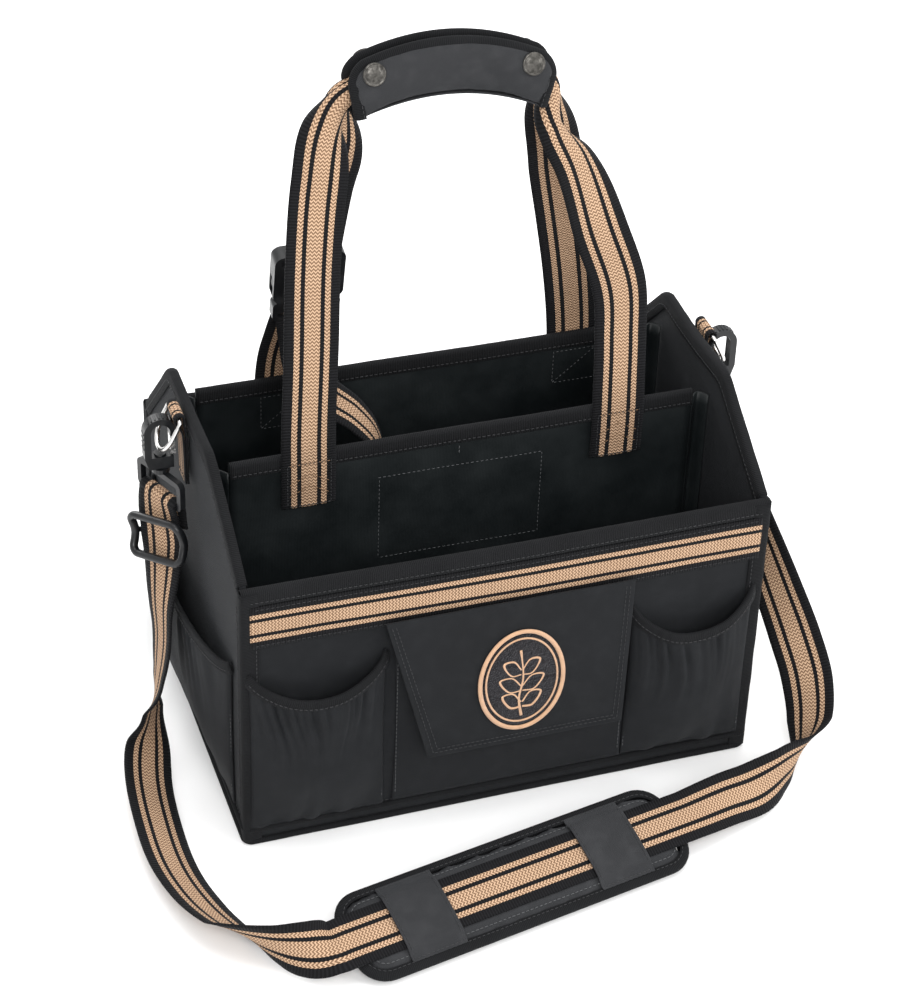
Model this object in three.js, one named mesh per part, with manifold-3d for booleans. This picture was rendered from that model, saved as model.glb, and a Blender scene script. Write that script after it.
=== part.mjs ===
// Open-topped garden tool bag with two partitions, carrying handles and a
// hooked-on shoulder strap. Millimetres, +Z up, front towards -Y, origin on the
// ground under the middle of the bag.
import * as THREE from 'three';
import { mergeVertices } from 'three/addons/utils/BufferGeometryUtils.js';
import Module from 'manifold-3d';

const wasm = await Module();
wasm.setup();

// Driving dimensions
const WIDTH = 390;
const DEPTH = 292;
const FRONT_HEIGHT = 232;
const BACK_HEIGHT = 200;
const PARTITION_HEIGHT = 262;
const END_HEIGHT = 286;
const END_FLAT_FRONT = -55;
const END_FLAT_BACK = 58.5;
const FRONT_PARTITION_Y = -38.4;
const REAR_PARTITION_Y = 58.5;
const WALL = 5;
const PARTITION = 4;
const BASE = 4;
const BOARD = 3;
const GAP = 0.3;
const BINDING_HEIGHT = 13;
const BINDING_WALL = 1.2;
const GUSSET = 14;
const WEBBING = 40;
const WEBBING_THICK = 1.6;
const POCKET_THICK = 1.5;

// Handles
const HANDLE_LEFT_X = -118.5;
const HANDLE_RIGHT_X = 116;
const SEWN_LOW_Z = 216;
const SEWN_TOP_Z = 266;
const LEG_LOW_Z = 277;
const GRIP_Y = 10;
const GRIP_HEIGHT = 42;
const GRIP_BULGE = 7;
const GRIP_CORE = 6.4;
const GRIP_TOP_CORE = 2.6;
const GRIP_SPLAY = 0.45;
const SNAP_HIGH = 11;
const SNAP_TILT = 18;
const GRIP_LEFT = [-77, 518];
const GRIP_MIDDLE = [-4, 531];
const GRIP_RIGHT = [68, 508];
const FOLDED_WIDTH = 18;
const FOLDED_THICK = 3.2;

// Shoulder strap hardware
const TAB_Y = 5;
const BAR_OUT = 8;
const BAR_Z = 283;
const RING_DROP = 30;
const RING_HALF = 17.3;
const TAB_HALF = 12.5;
const RING_WIRE = 2;
const RING_LEAN = 26;
const HOOK_OUT = 20.1;
const HOOK_Z = 247;
const EYE_BAR_DROP = 34;
const EYE_WIRE = 2.3;
const LEFT_EYE_TURN = 24;

// Shoulder pad
const PAD_LENGTH = 270;
const PAD_WIDTH = 72;
const PAD_THICK = 8;
const PAD_CENTRE = [-26, -254, 16];
const PAD_TURN = 11;
const PAD_TILT = 18;
const STRAP_OVER_PAD = 5.4;
const SLEEVE_LENGTH = 44;
const SLEEVE_OFFSET = 77;

const bag = new THREE.Group();
const radians = THREE.MathUtils.degToRad;

const COLOURS = {
  fabric: { color: 0x16171a, roughness: 0.9 },
  lining: { color: 0x101113, roughness: 0.85 },
  binding: { color: 0x0f0f11, roughness: 0.95 },
  webbing: { color: 0xb9936a, roughness: 0.85 },
  plastic: { color: 0x121316, roughness: 0.4 },
  board: { color: 0x1c1c1e, roughness: 0.8 },
  emblem: { color: 0xc08d66, roughness: 0.9 },
  steel: { color: 0xc2c4c6, roughness: 0.25, metalness: 1 },
  gunmetal: { color: 0x6a655e, roughness: 0.35, metalness: 1 },
};

function addPart(name, finish, geometry, parent = bag) {
  const mesh = new THREE.Mesh(geometry, new THREE.MeshStandardMaterial(COLOURS[finish]));
  mesh.name = name;
  parent.add(mesh);
  return mesh;
}

// Solids

function toManifold(geometry) {
  const bare = geometry.clone();
  bare.deleteAttribute('normal');
  bare.deleteAttribute('uv');
  const merged = mergeVertices(bare, 1e-4);
  return new wasm.Manifold(new wasm.Mesh({
    numProp: 3,
    vertProperties: new Float32Array(merged.attributes.position.array),
    triVerts: new Uint32Array(merged.index.array),
  }));
}

function toGeometry(manifold) {
  const mesh = manifold.getMesh();
  const geometry = new THREE.BufferGeometry();
  geometry.setAttribute('position', new THREE.BufferAttribute(mesh.vertProperties, 3));
  geometry.setIndex(new THREE.BufferAttribute(mesh.triVerts, 1));
  return geometry;
}

function join(...geometries) {
  return toGeometry(geometries.map(toManifold).reduce((a, b) => a.add(b)));
}

function cut(body, ...tools) {
  return toGeometry([body, ...tools].map(toManifold).reduce((a, b) => a.subtract(b)));
}

function block(x0, x1, y0, y1, z0, z1) {
  const box = new THREE.BoxGeometry(x1 - x0, y1 - y0, z1 - z0);
  return box.translate((x0 + x1) / 2, (y0 + y1) / 2, (z0 + z1) / 2);
}

// A plate whose outline is drawn in XZ and whose thickness runs along Y.
function plateXZ(shape, y0, y1, curveSegments = 8) {
  const plate = new THREE.ExtrudeGeometry(shape, { depth: y1 - y0, bevelEnabled: false, curveSegments });
  return plate.rotateX(Math.PI / 2).translate(0, y1, 0);
}

// A plate whose outline is drawn in YZ and whose thickness runs along X.
function plateYZ(shape, x0, x1, curveSegments = 8) {
  const plate = new THREE.ExtrudeGeometry(shape, { depth: x1 - x0, bevelEnabled: false, curveSegments });
  return plate.rotateX(Math.PI / 2).rotateZ(Math.PI / 2).translate(x0, 0, 0);
}

function polygon(points) {
  return new THREE.Shape(points.map(([a, b]) => new THREE.Vector2(a, b)));
}

function roundedRectangle(width, height, radius) {
  const shape = new THREE.Shape();
  const w = width / 2;
  const h = height / 2;
  shape.moveTo(-w + radius, -h);
  shape.lineTo(w - radius, -h);
  shape.absarc(w - radius, -h + radius, radius, -Math.PI / 2, 0);
  shape.lineTo(w, h - radius);
  shape.absarc(w - radius, h - radius, radius, 0, Math.PI / 2);
  shape.lineTo(-w + radius, h);
  shape.absarc(-w + radius, h - radius, radius, Math.PI / 2, Math.PI);
  shape.lineTo(-w, -h + radius);
  shape.absarc(-w + radius, -h + radius, radius, Math.PI, Math.PI * 1.5);
  return shape;
}

// A unit box whose vertices are moved by place(across, through, along).
function shapedBox(across, through, along, place) {
  const box = new THREE.BoxGeometry(1, 1, 1, across, through, along);
  const position = box.attributes.position;
  const moved = new THREE.Vector3();
  for (let i = 0; i < position.count; i += 1) {
    place(position.getX(i), position.getY(i), position.getZ(i), moved);
    position.setXYZ(i, moved.x, moved.y, moved.z);
  }
  return box;
}

// Flat webbing along a curve. Each stop is [x, y, z, nx, ny, nz], the normal
// being the direction that the webbing's outer face looks.
function webbing(stops, steps, sizeAt = () => [WEBBING, WEBBING_THICK]) {
  const route = new THREE.CatmullRomCurve3(stops.map((s) => new THREE.Vector3(s[0], s[1], s[2])));
  const facing = stops.map((s) => new THREE.Vector3(s[3], s[4], s[5]));
  return shapedBox(1, 1, steps, (across, through, along, out) => {
    const t = along + 0.5;
    const tangent = route.getTangent(t);
    const stop = Math.min(Math.floor(t * (stops.length - 1)), stops.length - 2);
    const normal = facing[stop].clone().lerp(facing[stop + 1], t * (stops.length - 1) - stop);
    normal.addScaledVector(tangent, -normal.dot(tangent)).normalize();
    const side = new THREE.Vector3().crossVectors(normal, tangent);
    const [width, thick] = sizeAt(t);
    out.copy(route.getPoint(t));
    out.addScaledVector(side, across * width).addScaledVector(normal, through * thick);
  });
}

// Stops that carry webbing around a bar, from one side, over it, to the other.
function turn(x, y, z, radius, from, to) {
  const stops = [];
  for (let i = 0; i <= 4; i += 1) {
    const angle = from + (to - from) * i / 4;
    const [c, s] = [Math.cos(angle), Math.sin(angle)];
    stops.push([x + radius * c, y, z + radius * s, c, 0, s]);
  }
  return stops;
}

// Bag body

function buildBase() {
  addPart('base_panel', 'fabric', block(-WIDTH / 2, WIDTH / 2, -DEPTH / 2, DEPTH / 2, 0, BASE));
  const inX = WIDTH / 2 - WALL - GAP;
  const inY = DEPTH / 2 - WALL - GAP;
  addPart('base_board', 'board', block(-inX, inX, -inY, inY, BASE + GAP, BASE + GAP + BOARD));
}

function endOutline(raise) {
  const y = DEPTH / 2 - WALL - 1.8;
  return {
    top: [[-y, FRONT_HEIGHT + 2 + raise], [END_FLAT_FRONT, END_HEIGHT + raise],
      [END_FLAT_BACK, END_HEIGHT + raise], [y, BACK_HEIGHT + 3 + raise]],
    y,
  };
}

function buildWalls() {
  const bottom = BASE + GAP;
  const half = WIDTH / 2;
  const front = -DEPTH / 2;
  addPart('front_wall', 'fabric', block(-half, half, front, front + WALL, bottom, FRONT_HEIGHT - 1.5));
  addPart('back_wall', 'fabric', block(-half, half, -front - WALL, -front, bottom, BACK_HEIGHT - 1.5));
  const { top, y } = endOutline(-1.5);
  const outline = polygon([[-y, bottom], [y, bottom], ...top.slice().reverse()]);
  addPart('left_end_wall', 'fabric', plateYZ(outline, -half, -half + WALL));
  addPart('right_end_wall', 'fabric', plateYZ(outline, half - WALL, half));
}

// A folded strip over the top edge of a straight panel.
function straightBinding(halfLength, yMiddle, thick, top) {
  const half = thick / 2 + GAP;
  const out = half + BINDING_WALL;
  const shell = block(-halfLength, halfLength, yMiddle - out, yMiddle + out, top - BINDING_HEIGHT, top);
  const inside = block(-halfLength - 1, halfLength + 1, yMiddle - half, yMiddle + half,
    top - BINDING_HEIGHT - 1, top - 1.2);
  return cut(shell, inside);
}

function endBinding(xMiddle) {
  const half = WALL / 2 + GAP;
  const out = half + BINDING_WALL;
  const upper = endOutline(0).top;
  const lower = endOutline(-BINDING_HEIGHT).top.reverse();
  const shell = plateYZ(polygon([...upper, ...lower].reverse()), xMiddle - out, xMiddle + out);
  const { top, y } = endOutline(-1.2);
  const widened = [[-y - 1, top[0][1] - 0.7], ...top.slice(1, 3), [y + 1, top[3][1] - 1]];
  const inside = plateYZ(polygon([[-y - 1, 0], [y + 1, 0], ...widened.reverse()]), xMiddle - half, xMiddle + half);
  return cut(shell, inside);
}

function buildBindings() {
  const wallY = DEPTH / 2 - WALL / 2;
  const wallX = WIDTH / 2 - WALL / 2;
  addPart('front_rim_binding', 'binding', straightBinding(WIDTH / 2, -wallY, WALL, FRONT_HEIGHT));
  addPart('back_rim_binding', 'binding', straightBinding(WIDTH / 2, wallY, WALL, BACK_HEIGHT));
  addPart('left_rim_binding', 'binding', endBinding(-wallX));
  addPart('right_rim_binding', 'binding', endBinding(wallX));
}

function buildPartition(name, yMiddle) {
  const half = WIDTH / 2 - WALL - GAP - GUSSET - GAP;
  const bottom = BASE + 2 * GAP + BOARD;
  const [y0, y1] = [yMiddle - PARTITION / 2, yMiddle + PARTITION / 2];
  addPart(name, 'lining', block(-half, half, y0, y1, bottom, PARTITION_HEIGHT - 1.5));
  addPart(`${name}_binding`, 'binding', straightBinding(half, yMiddle, PARTITION, PARTITION_HEIGHT));
  const fold = 8;
  const skin = 1.5;
  const chevron = [[0, 0], [GUSSET / 2, fold], [GUSSET, 0], [GUSSET, skin * 1.6],
    [GUSSET / 2, fold + skin * 1.6], [0, skin * 1.6]];
  for (const [side, start] of [['left', -half - GAP - GUSSET], ['right', half + GAP]]) {
    const shape = polygon(chevron.map(([a, b]) => [start + a, y0 + b]));
    const height = PARTITION_HEIGHT - 6 - bottom;
    const gusset = new THREE.ExtrudeGeometry(shape, { depth: height, bevelEnabled: false });
    addPart(`${name}_${side}_gusset`, 'lining', gusset.translate(0, 0, bottom));
  }
}

// Pockets: a gathered skin that stands away from the wall behind it.
function pocketSkin(width, low, high, dip, bulge) {
  return shapedBox(12, 1, 8, (across, through, along, out) => {
    const u = across + 0.5;
    const v = along + 0.5;
    const hump = Math.max(Math.sin(Math.PI * u), 0) ** 0.7;
    const swell = Math.sin(Math.PI / 2 * Math.min(v / 0.55, 1)) * (1 - 0.15 * v);
    const top = high - dip * hump;
    out.x = across * width;
    out.z = low + (top - low) * v;
    out.y = -(GAP + bulge * hump * swell + POCKET_THICK * (0.5 - through));
  });
}

function buildPockets() {
  const front = -DEPTH / 2;
  const pockets = [
    ['front_left_pocket', -141.7, front, 0, 99, 16, 162, 24, 20],
    ['front_right_pocket', 141, front, 0, 94, 18, 162, 28, 20],
    ['front_center_pocket', 4, front, 0, 178, 17, 162, 4, 6.5],
    ['left_side_pocket', -WIDTH / 2, 0, -90, 236, 16, 150, 20, 20],
    ['right_side_pocket', WIDTH / 2, 0, 90, 236, 16, 150, 20, 20],
    ['back_pocket', 0, -front, 180, 300, 16, 150, 14, 20],
  ];
  for (const [name, x, y, turned, width, low, high, dip, bulge] of pockets) {
    const mesh = addPart(name, 'fabric', pocketSkin(width, low, high, dip, bulge));
    mesh.position.set(x, y, 0);
    mesh.rotation.z = radians(turned);
  }
}

function buildFrontTrim() {
  const face = -DEPTH / 2 - GAP;
  const band = block(-188, 188, face - WEBBING_THICK, face, 190, FRONT_HEIGHT - BINDING_HEIGHT - GAP);
  addPart('front_band', 'webbing', band);
  const flap = new THREE.Group();
  flap.position.set(0, face - 5.5, 189.4);
  flap.rotation.x = radians(-5.2);
  bag.add(flap);
  const outline = polygon([[-64, -123], [85, -123], [92, -1], [-94, -1]]);
  addPart('front_flap', 'fabric', plateXZ(outline, -2, 0), flap);
  const badge = new THREE.Shape();
  badge.absellipse(6, -70, 33, 43, 0, Math.PI * 2);
  addPart('flap_emblem', 'emblem', plateXZ(badge, -2.3 - 1.2, -2.3, 16), flap);
}

// Carrying handles

function gripArc(t) {
  const arc = new THREE.QuadraticBezierCurve(
    new THREE.Vector2(...GRIP_LEFT),
    new THREE.Vector2(GRIP_MIDDLE[0], 2 * GRIP_MIDDLE[1] - (GRIP_LEFT[1] + GRIP_RIGHT[1]) / 2),
    new THREE.Vector2(...GRIP_RIGHT),
  );
  return { point: arc.getPoint(t), tangent: arc.getTangent(t) };
}

function gripStops(y, facing) {
  return [0, 0.25, 0.5, 0.75, 1].map((t) => {
    const { point } = gripArc(t);
    return [point.x, y, point.y - 5.5, 0, facing, 0];
  });
}

// Full width on the legs, folded lengthwise where the webbing enters the grip.
function foldedSize(entry, exit) {
  return (t) => {
    const ease = 0.1;
    const rise = THREE.MathUtils.smoothstep(t, entry - ease, entry);
    const fold = rise - THREE.MathUtils.smoothstep(t, exit, exit + ease);
    const width = THREE.MathUtils.lerp(WEBBING, FOLDED_WIDTH, fold);
    const thick = THREE.MathUtils.lerp(WEBBING_THICK, FOLDED_THICK, fold);
    return [width, thick];
  };
}

function sewnEnd(name, x, partitionY, facing) {
  const face = partitionY + facing * (PARTITION / 2 + GAP + BINDING_WALL + GAP);
  const [y0, y1] = [face, face + facing * WEBBING_THICK].sort((a, b) => a - b);
  const half = WEBBING / 2;
  addPart(name, 'webbing', block(x - half, x + half, y0, y1, SEWN_LOW_Z, SEWN_TOP_Z));
}

function buildHandleLoops() {
  const lift = LEG_LOW_Z;
  sewnEnd('front_handle_left_end', HANDLE_LEFT_X, FRONT_PARTITION_Y, -1);
  sewnEnd('front_handle_right_end', HANDLE_RIGHT_X, FRONT_PARTITION_Y, -1);
  sewnEnd('rear_handle_left_end', -110, REAR_PARTITION_Y, 1);
  sewnEnd('rear_handle_right_end', 119, REAR_PARTITION_Y, 1);
  const front = [
    [-118, -41, lift, 0, -1, -0.2], [-112, -27, 335, 0, -1, -0.2], [-107, -14, 398, 0, -1, -0.2],
    [-100, -3, 452, -0.2, -1, 0], [-91, 4, 492, -0.3, -1, 0],
    ...gripStops(GRIP_Y - 2.6, -1),
    [80, 2, 476, 0.4, -1, 0], [94, -5, 448, 0.3, -1, 0], [108, -15, 398, 0.1, -1, -0.2],
    [120, -24, 350, 0, -1, -0.2], [119, -33, 312, 0, -1, -0.2], [115, -41, lift, 0, -1, -0.2],
  ];
  addPart('front_handle_webbing', 'webbing', webbing(front, 60, foldedSize(5 / 15, 9 / 15)));
  const rear = [
    [-90.5, 38, 384, 0, -1, -0.2], [-86, 28, 432, 0, -1, -0.2], [-80, 21, 470, -0.1, -1, 0],
    ...gripStops(GRIP_Y + 2.6, -1),
    [73, 19, 473, 0.2, -1, 0], [83, 29, 428, 0, -1, -0.2], [96, 40, 378, 0, -1, -0.2],
    [108, 52, 326, 0, -1, -0.2], [117, 62, lift, 0, -1, -0.2],
  ];
  addPart('rear_handle_webbing', 'webbing', webbing(rear, 50, foldedSize(3 / 12, 7 / 12)));
  const lower = [[-107, 64, lift, 0, -1, -0.2], [-103, 59, 300, 0, -1, -0.2], [-101.5, 56.5, 309, 0, -1, -0.2]];
  addPart('rear_handle_lower_webbing', 'webbing', webbing(lower, 6));
  const tail = [
    [-95, 52, 300, 0, -1, -0.3], [-94, 44, 281, 0.2, -1, 0.2], [-85, 30, 262, 0.7, -0.5, 0.6],
    [-65, 19, 246, 0.6, -0.3, 0.8], [-51, 13, 226, 0.9, -0.3, 0.4], [-47, 11, 192, 0.9, -0.4, 0],
    [-50, 11, 162, 0.8, -0.6, 0],
  ];
  addPart('handle_strap_tail', 'webbing', webbing(tail, 24));
}

// Half the gap between the two leaves, which close towards their top edges.
function gripCore(high) {
  const closing = THREE.MathUtils.clamp((high - 6.5) / (GRIP_HEIGHT / 2 - 6.5), 0, 1);
  return THREE.MathUtils.lerp(GRIP_CORE, GRIP_TOP_CORE, closing);
}

function gripFull(high) {
  return Math.sqrt(1 - 0.72 * (2 * high / GRIP_HEIGHT) ** 2);
}

// A point of the grip's side view, at t along its arc and high above it.
function gripPoint(t, high) {
  const { point, tangent } = gripArc(t);
  return [point.x - GRIP_SPLAY * tangent.y * high, point.y + tangent.x * high];
}

// One padded leaf of the grip, flat towards the webbing and full on its outside.
function gripLeaf(facing) {
  return shapedBox(8, 1, 16, (across, through, along, out) => {
    const high = -across * GRIP_HEIGHT;
    const [x, z] = gripPoint(along + 0.5, high);
    const outside = through * facing > 0;
    const depth = gripCore(high) + (outside ? 0.6 + GRIP_BULGE * gripFull(high) : 0);
    out.set(x, GRIP_Y + facing * depth, z);
  });
}

function buildGrip() {
  addPart('grip_back_leaf', 'fabric', gripLeaf(1));
  addPart('grip_front_leaf', 'fabric', gripLeaf(-1));
  const cap = [[0, 0], [7.5, 0], [8, 0.8], [7, 1.9], [0, 2.3]];
  const studCore = gripCore(SNAP_HIGH + 4);
  const reach = 2 * studCore - 2 * GAP;
  const stud = [[0, 0], [3.4, 0], [3.4, 1.6], [2.2, 2], [2.2, reach], [0, reach]];
  const capDepth = gripCore(SNAP_HIGH) + 0.6 + GRIP_BULGE * gripFull(SNAP_HIGH) + 1.2;
  for (const [side, t] of [['left', 0.115], ['right', 0.87]]) {
    const [x, z] = gripPoint(t, SNAP_HIGH);
    const dome = new THREE.LatheGeometry(cap.map(([r, h]) => new THREE.Vector2(r, h)), 24);
    const capMesh = addPart(`${side}_snap_cap`, 'gunmetal', dome);
    capMesh.position.set(x, GRIP_Y - capDepth, z);
    capMesh.rotation.x = Math.PI - radians(SNAP_TILT);
    const post = new THREE.LatheGeometry(stud.map(([r, h]) => new THREE.Vector2(r, h)), 16);
    const postMesh = addPart(`${side}_snap_stud`, 'gunmetal', post);
    postMesh.position.set(x, GRIP_Y + studCore - GAP, z);
    postMesh.rotation.x = Math.PI;
  }
}

// Side-release buckle on the rear handle's left leg.
function buildBuckle() {
  const buckle = new THREE.Group();
  buckle.position.set(-95, 46.5, 347);
  const along = new THREE.Vector3(0.15, -0.21, 0.966).normalize();
  const out = new THREE.Vector3(0, -1, -0.217).normalize();
  const side = new THREE.Vector3().crossVectors(along, out).normalize();
  const face = new THREE.Vector3().crossVectors(side, along);
  buckle.quaternion.setFromRotationMatrix(new THREE.Matrix4().makeBasis(side.negate(), face.negate(), along));
  bag.add(buckle);
  const shell = roundedRectangle(52, 46, 7);
  const housing = plateXZ(shell, -6.5, 6.5, 4).translate(0, 0, 12);
  const mouth = block(-20, 20, -4, 4, -12, 24);
  const windows = block(-30, 30, -4, 4, -4, 12);
  const slot = block(-21, 21, -8, 8, 27, 31);
  addPart('buckle_socket', 'plastic', cut(housing, mouth, windows, slot), buckle);
  const frame = plateXZ(roundedRectangle(50, 18, 4), -4.5, 4.5, 4).translate(0, 0, -21.5);
  const strapSlot = block(-21, 21, -8, 8, -27, -23);
  const tongue = block(-5, 5, -3.2, 3.2, -13, 20);
  addPart('buckle_plug', 'plastic', join(cut(frame, strapSlot), tongue), buckle);
  const prong = new THREE.Shape();
  prong.moveTo(14, -12);
  prong.lineTo(18.5, -12);
  prong.lineTo(19.5, -4);
  prong.quadraticCurveTo(25.5, -2, 25.5, 4);
  prong.lineTo(25, 10.5);
  prong.lineTo(19.5, 10.5);
  prong.lineTo(16, 18);
  prong.lineTo(12.5, 18);
  prong.lineTo(14, 4);
  addPart('right_buckle_prong', 'plastic', plateXZ(prong, -3.2, 3.2, 4), buckle);
  const leftProng = addPart('left_buckle_prong', 'plastic', plateXZ(prong, -3.2, 3.2, 4), buckle);
  leftProng.rotation.z = Math.PI;
}

// Strap hardware on one end wall, drawn with +X as outward.

function rodAlongY(radius, halfLength, x, z, sides = 12) {
  return new THREE.CylinderGeometry(radius, radius, 2 * halfLength, sides).translate(x, 0, z);
}

function ringTab() {
  const sheetIn = 1.8;
  const sheetOut = 5.4;
  const strip = block(sheetIn, sheetOut, -TAB_HALF, TAB_HALF, 226, BAR_Z - 2);
  const roll = rodAlongY(4.8, TAB_HALF, BAR_OUT - 0.4, BAR_Z, 20);
  const bore = rodAlongY(RING_WIRE + 0.6, TAB_HALF + 1, BAR_OUT, BAR_Z, 16);
  return cut(join(strip, roll), bore);
}

function dRing() {
  const bar = rodAlongY(RING_WIRE, RING_HALF, 0, 0, 10);
  const corner = RING_HALF - RING_WIRE;
  const straight = RING_DROP - corner;
  const arc = [];
  for (let i = 0; i <= 12; i += 1) {
    const angle = Math.PI * i / 12;
    arc.push(new THREE.Vector3(0, corner * Math.cos(angle), -straight - corner * Math.sin(angle)));
  }
  const route = new THREE.CatmullRomCurve3([
    new THREE.Vector3(0, corner, 0), new THREE.Vector3(0, corner, -straight / 2), ...arc,
    new THREE.Vector3(0, -corner, -straight / 2), new THREE.Vector3(0, -corner, 0),
  ]);
  const section = new THREE.Shape();
  section.absarc(0, 0, RING_WIRE, 0, Math.PI * 2);
  const wire = new THREE.ExtrudeGeometry(section, { steps: 26, extrudePath: route, curveSegments: 5 });
  return join(bar, wire);
}

function hookBody() {
  const shape = new THREE.Shape();
  const crown = 22.5;
  shape.moveTo(-9, -8);
  shape.lineTo(9, -8);
  shape.lineTo(12, 2);
  shape.lineTo(12, crown);
  shape.absarc(0, crown, 12, 0, Math.PI);
  shape.lineTo(-11.5, 19);
  shape.lineTo(-7, 19);
  shape.lineTo(-7, crown);
  shape.absarc(0, crown, 7, Math.PI, 0, true);
  shape.lineTo(7, 2);
  shape.lineTo(-9, 2);
  const body = plateXZ(shape, -4.5, 4.5, 10);
  const bore = new THREE.CylinderGeometry(3.2, 3.2, 14, 16).rotateX(Math.PI / 2).translate(0, 0, -3);
  return cut(body, bore);
}

function hookGate() {
  return plateXZ(polygon([[-11, 3.2], [-7.2, 3.2], [-7, 18.6], [-10.2, 18.6]]), -3.5, 3.5);
}

function swivelEye() {
  const pin = new THREE.CylinderGeometry(2.8, 2.8, 16, 16).rotateX(Math.PI / 2).translate(0, 0, -5);
  const head = new THREE.CylinderGeometry(4.4, 4.4, 1.4, 16).rotateX(Math.PI / 2).translate(0, 0, 3);
  const collar = new THREE.CylinderGeometry(6.5, 6.5, 3.5, 16).rotateX(Math.PI / 2).translate(0, 0, -10.2);
  const loop = roundedRectangle(2 * (EYE_WIRE + 23), 24.6, 5);
  loop.holes.push(roundedRectangle(42, 15.5, 2));
  const frame = plateYZ(loop, -EYE_WIRE, EYE_WIRE, 4).translate(0, 0, -EYE_BAR_DROP + 10);
  return join(frame, collar, pin, head);
}

function buildHardware(side, turned) {
  const mount = new THREE.Group();
  mount.position.set(side === 'left' ? -WIDTH / 2 : WIDTH / 2, TAB_Y, 0);
  mount.rotation.z = turned;
  bag.add(mount);
  addPart(`${side}_ring_tab`, 'webbing', ringTab(), mount);
  const ring = addPart(`${side}_d_ring`, 'steel', dRing(), mount);
  ring.position.set(BAR_OUT, 0, BAR_Z);
  ring.rotation.y = radians(-RING_LEAN);
  const hook = new THREE.Group();
  hook.position.set(HOOK_OUT, 0, HOOK_Z);
  mount.add(hook);
  addPart(`${side}_hook`, 'plastic', hookBody(), hook);
  addPart(`${side}_hook_gate`, 'steel', hookGate(), hook);
  const eye = addPart(`${side}_hook_eye`, 'plastic', swivelEye(), hook);
  eye.rotation.z = side === 'left' ? radians(LEFT_EYE_TURN) : 0;
}

// Shoulder strap

function padFrame() {
  const along = new THREE.Vector3(1, 0, 0).applyAxisAngle(new THREE.Vector3(0, 0, 1), radians(PAD_TURN));
  const flatUp = new THREE.Vector3(-along.y, along.x, 0);
  const up = new THREE.Vector3(0, 0, 1);
  const across = flatUp.clone().multiplyScalar(Math.cos(radians(PAD_TILT)));
  across.addScaledVector(up, Math.sin(radians(PAD_TILT)));
  const normal = new THREE.Vector3().crossVectors(along, across);
  return { along, across, normal };
}

function padStops() {
  const { along, normal } = padFrame();
  return [-146, -134, -100, -50, 0, 50, 100, 134, 146].map((s) => {
    const p = new THREE.Vector3(...PAD_CENTRE).addScaledVector(along, s).addScaledVector(normal, STRAP_OVER_PAD);
    return [p.x, p.y, p.z, normal.x, normal.y, normal.z];
  });
}

// Turns the strap's top, and the way it faces, with the left eye that it hangs on.
function towardsFront([x, y, z, nx, ny, nz], eyeX) {
  const upright = new THREE.Vector3(0, 0, 1);
  const turned = radians(LEFT_EYE_TURN) * THREE.MathUtils.clamp((z - 140) / 36, 0, 1);
  const place = new THREE.Vector3(x - eyeX, y - TAB_Y, z).applyAxisAngle(upright, turned);
  const normal = new THREE.Vector3(nx, ny, nz).applyAxisAngle(upright, turned);
  return [place.x + eyeX, place.y + TAB_Y, z, normal.x, normal.y, normal.z];
}

function strapStops() {
  const eyeX = WIDTH / 2 + HOOK_OUT;
  const eyeZ = HOOK_Z - EYE_BAR_DROP;
  const roll = EYE_WIRE + 1.4 + WEBBING_THICK / 2;
  const top = [
    [-214.5, 0, 188, 0.97, 0.2, 0], [-213, 4, 202, 0.97, 0.2, 0],
    ...turn(-eyeX, TAB_Y, eyeZ, roll, 0, Math.PI),
    [-220, 3, 200, -0.97, -0.15, 0], [-221.5, -2, 180, -0.97, -0.2, 0], [-223, -8, 158, -0.97, -0.22, 0],
  ];
  return [
    ...top.map((stop) => towardsFront(stop, -eyeX)),
    [-224, -17, 132, -0.95, -0.25, -0.1], [-226, -26, 106, -0.88, -0.22, -0.4],
    [-231, -34, 80, -0.75, -0.15, -0.6], [-238, -42, 54, -0.62, -0.05, -0.78],
    [-245, -54, 32, -0.54, -0.05, -0.84], [-251, -78, 20, -0.5, -0.05, -0.87],
    [-254, -120, 13, -0.47, -0.05, -0.88], [-253, -165, 11, -0.45, -0.06, -0.89],
    [-245, -204, 12, -0.45, -0.14, -0.88], [-233, -234, 14, -0.5, -0.25, -0.8],
    [-222, -254, 18.5, -0.62, -0.56, -0.5], [-206, -271, 21.5, -0.6, -0.76, -0.1],
    [-187, -281, 22, -0.3, -0.8, 0.45],
    ...padStops(),
    [150, -219, 20, 0.1, -0.5, 0.85], [178, -212, 18.5, 0.36, -0.66, 0.66],
    [202, -202, 20.8, 0.6, -0.76, 0.2], [225, -187, 23, 0.9, -0.3, -0.2],
    [239, -167, 33, 0.78, 0.3, -0.5], [244, -145, 55, 0.6, 0.55, -0.55],
    [241, -122, 80, 0.6, 0.6, -0.5], [234, -94, 112, 0.75, 0.5, -0.4],
    [226, -56, 152, 0.9, 0.3, -0.2], [220, -16, 190, 0.98, 0.1, -0.1],
    ...turn(eyeX, TAB_Y, eyeZ, roll, 0, Math.PI),
    [213.2, 3, 198, -0.98, -0.1, 0], [214.5, -6, 176, -0.98, -0.1, 0],
  ];
}

function buildStrap() {
  addPart('strap_webbing', 'webbing', webbing(strapStops(), 150));
}

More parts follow.
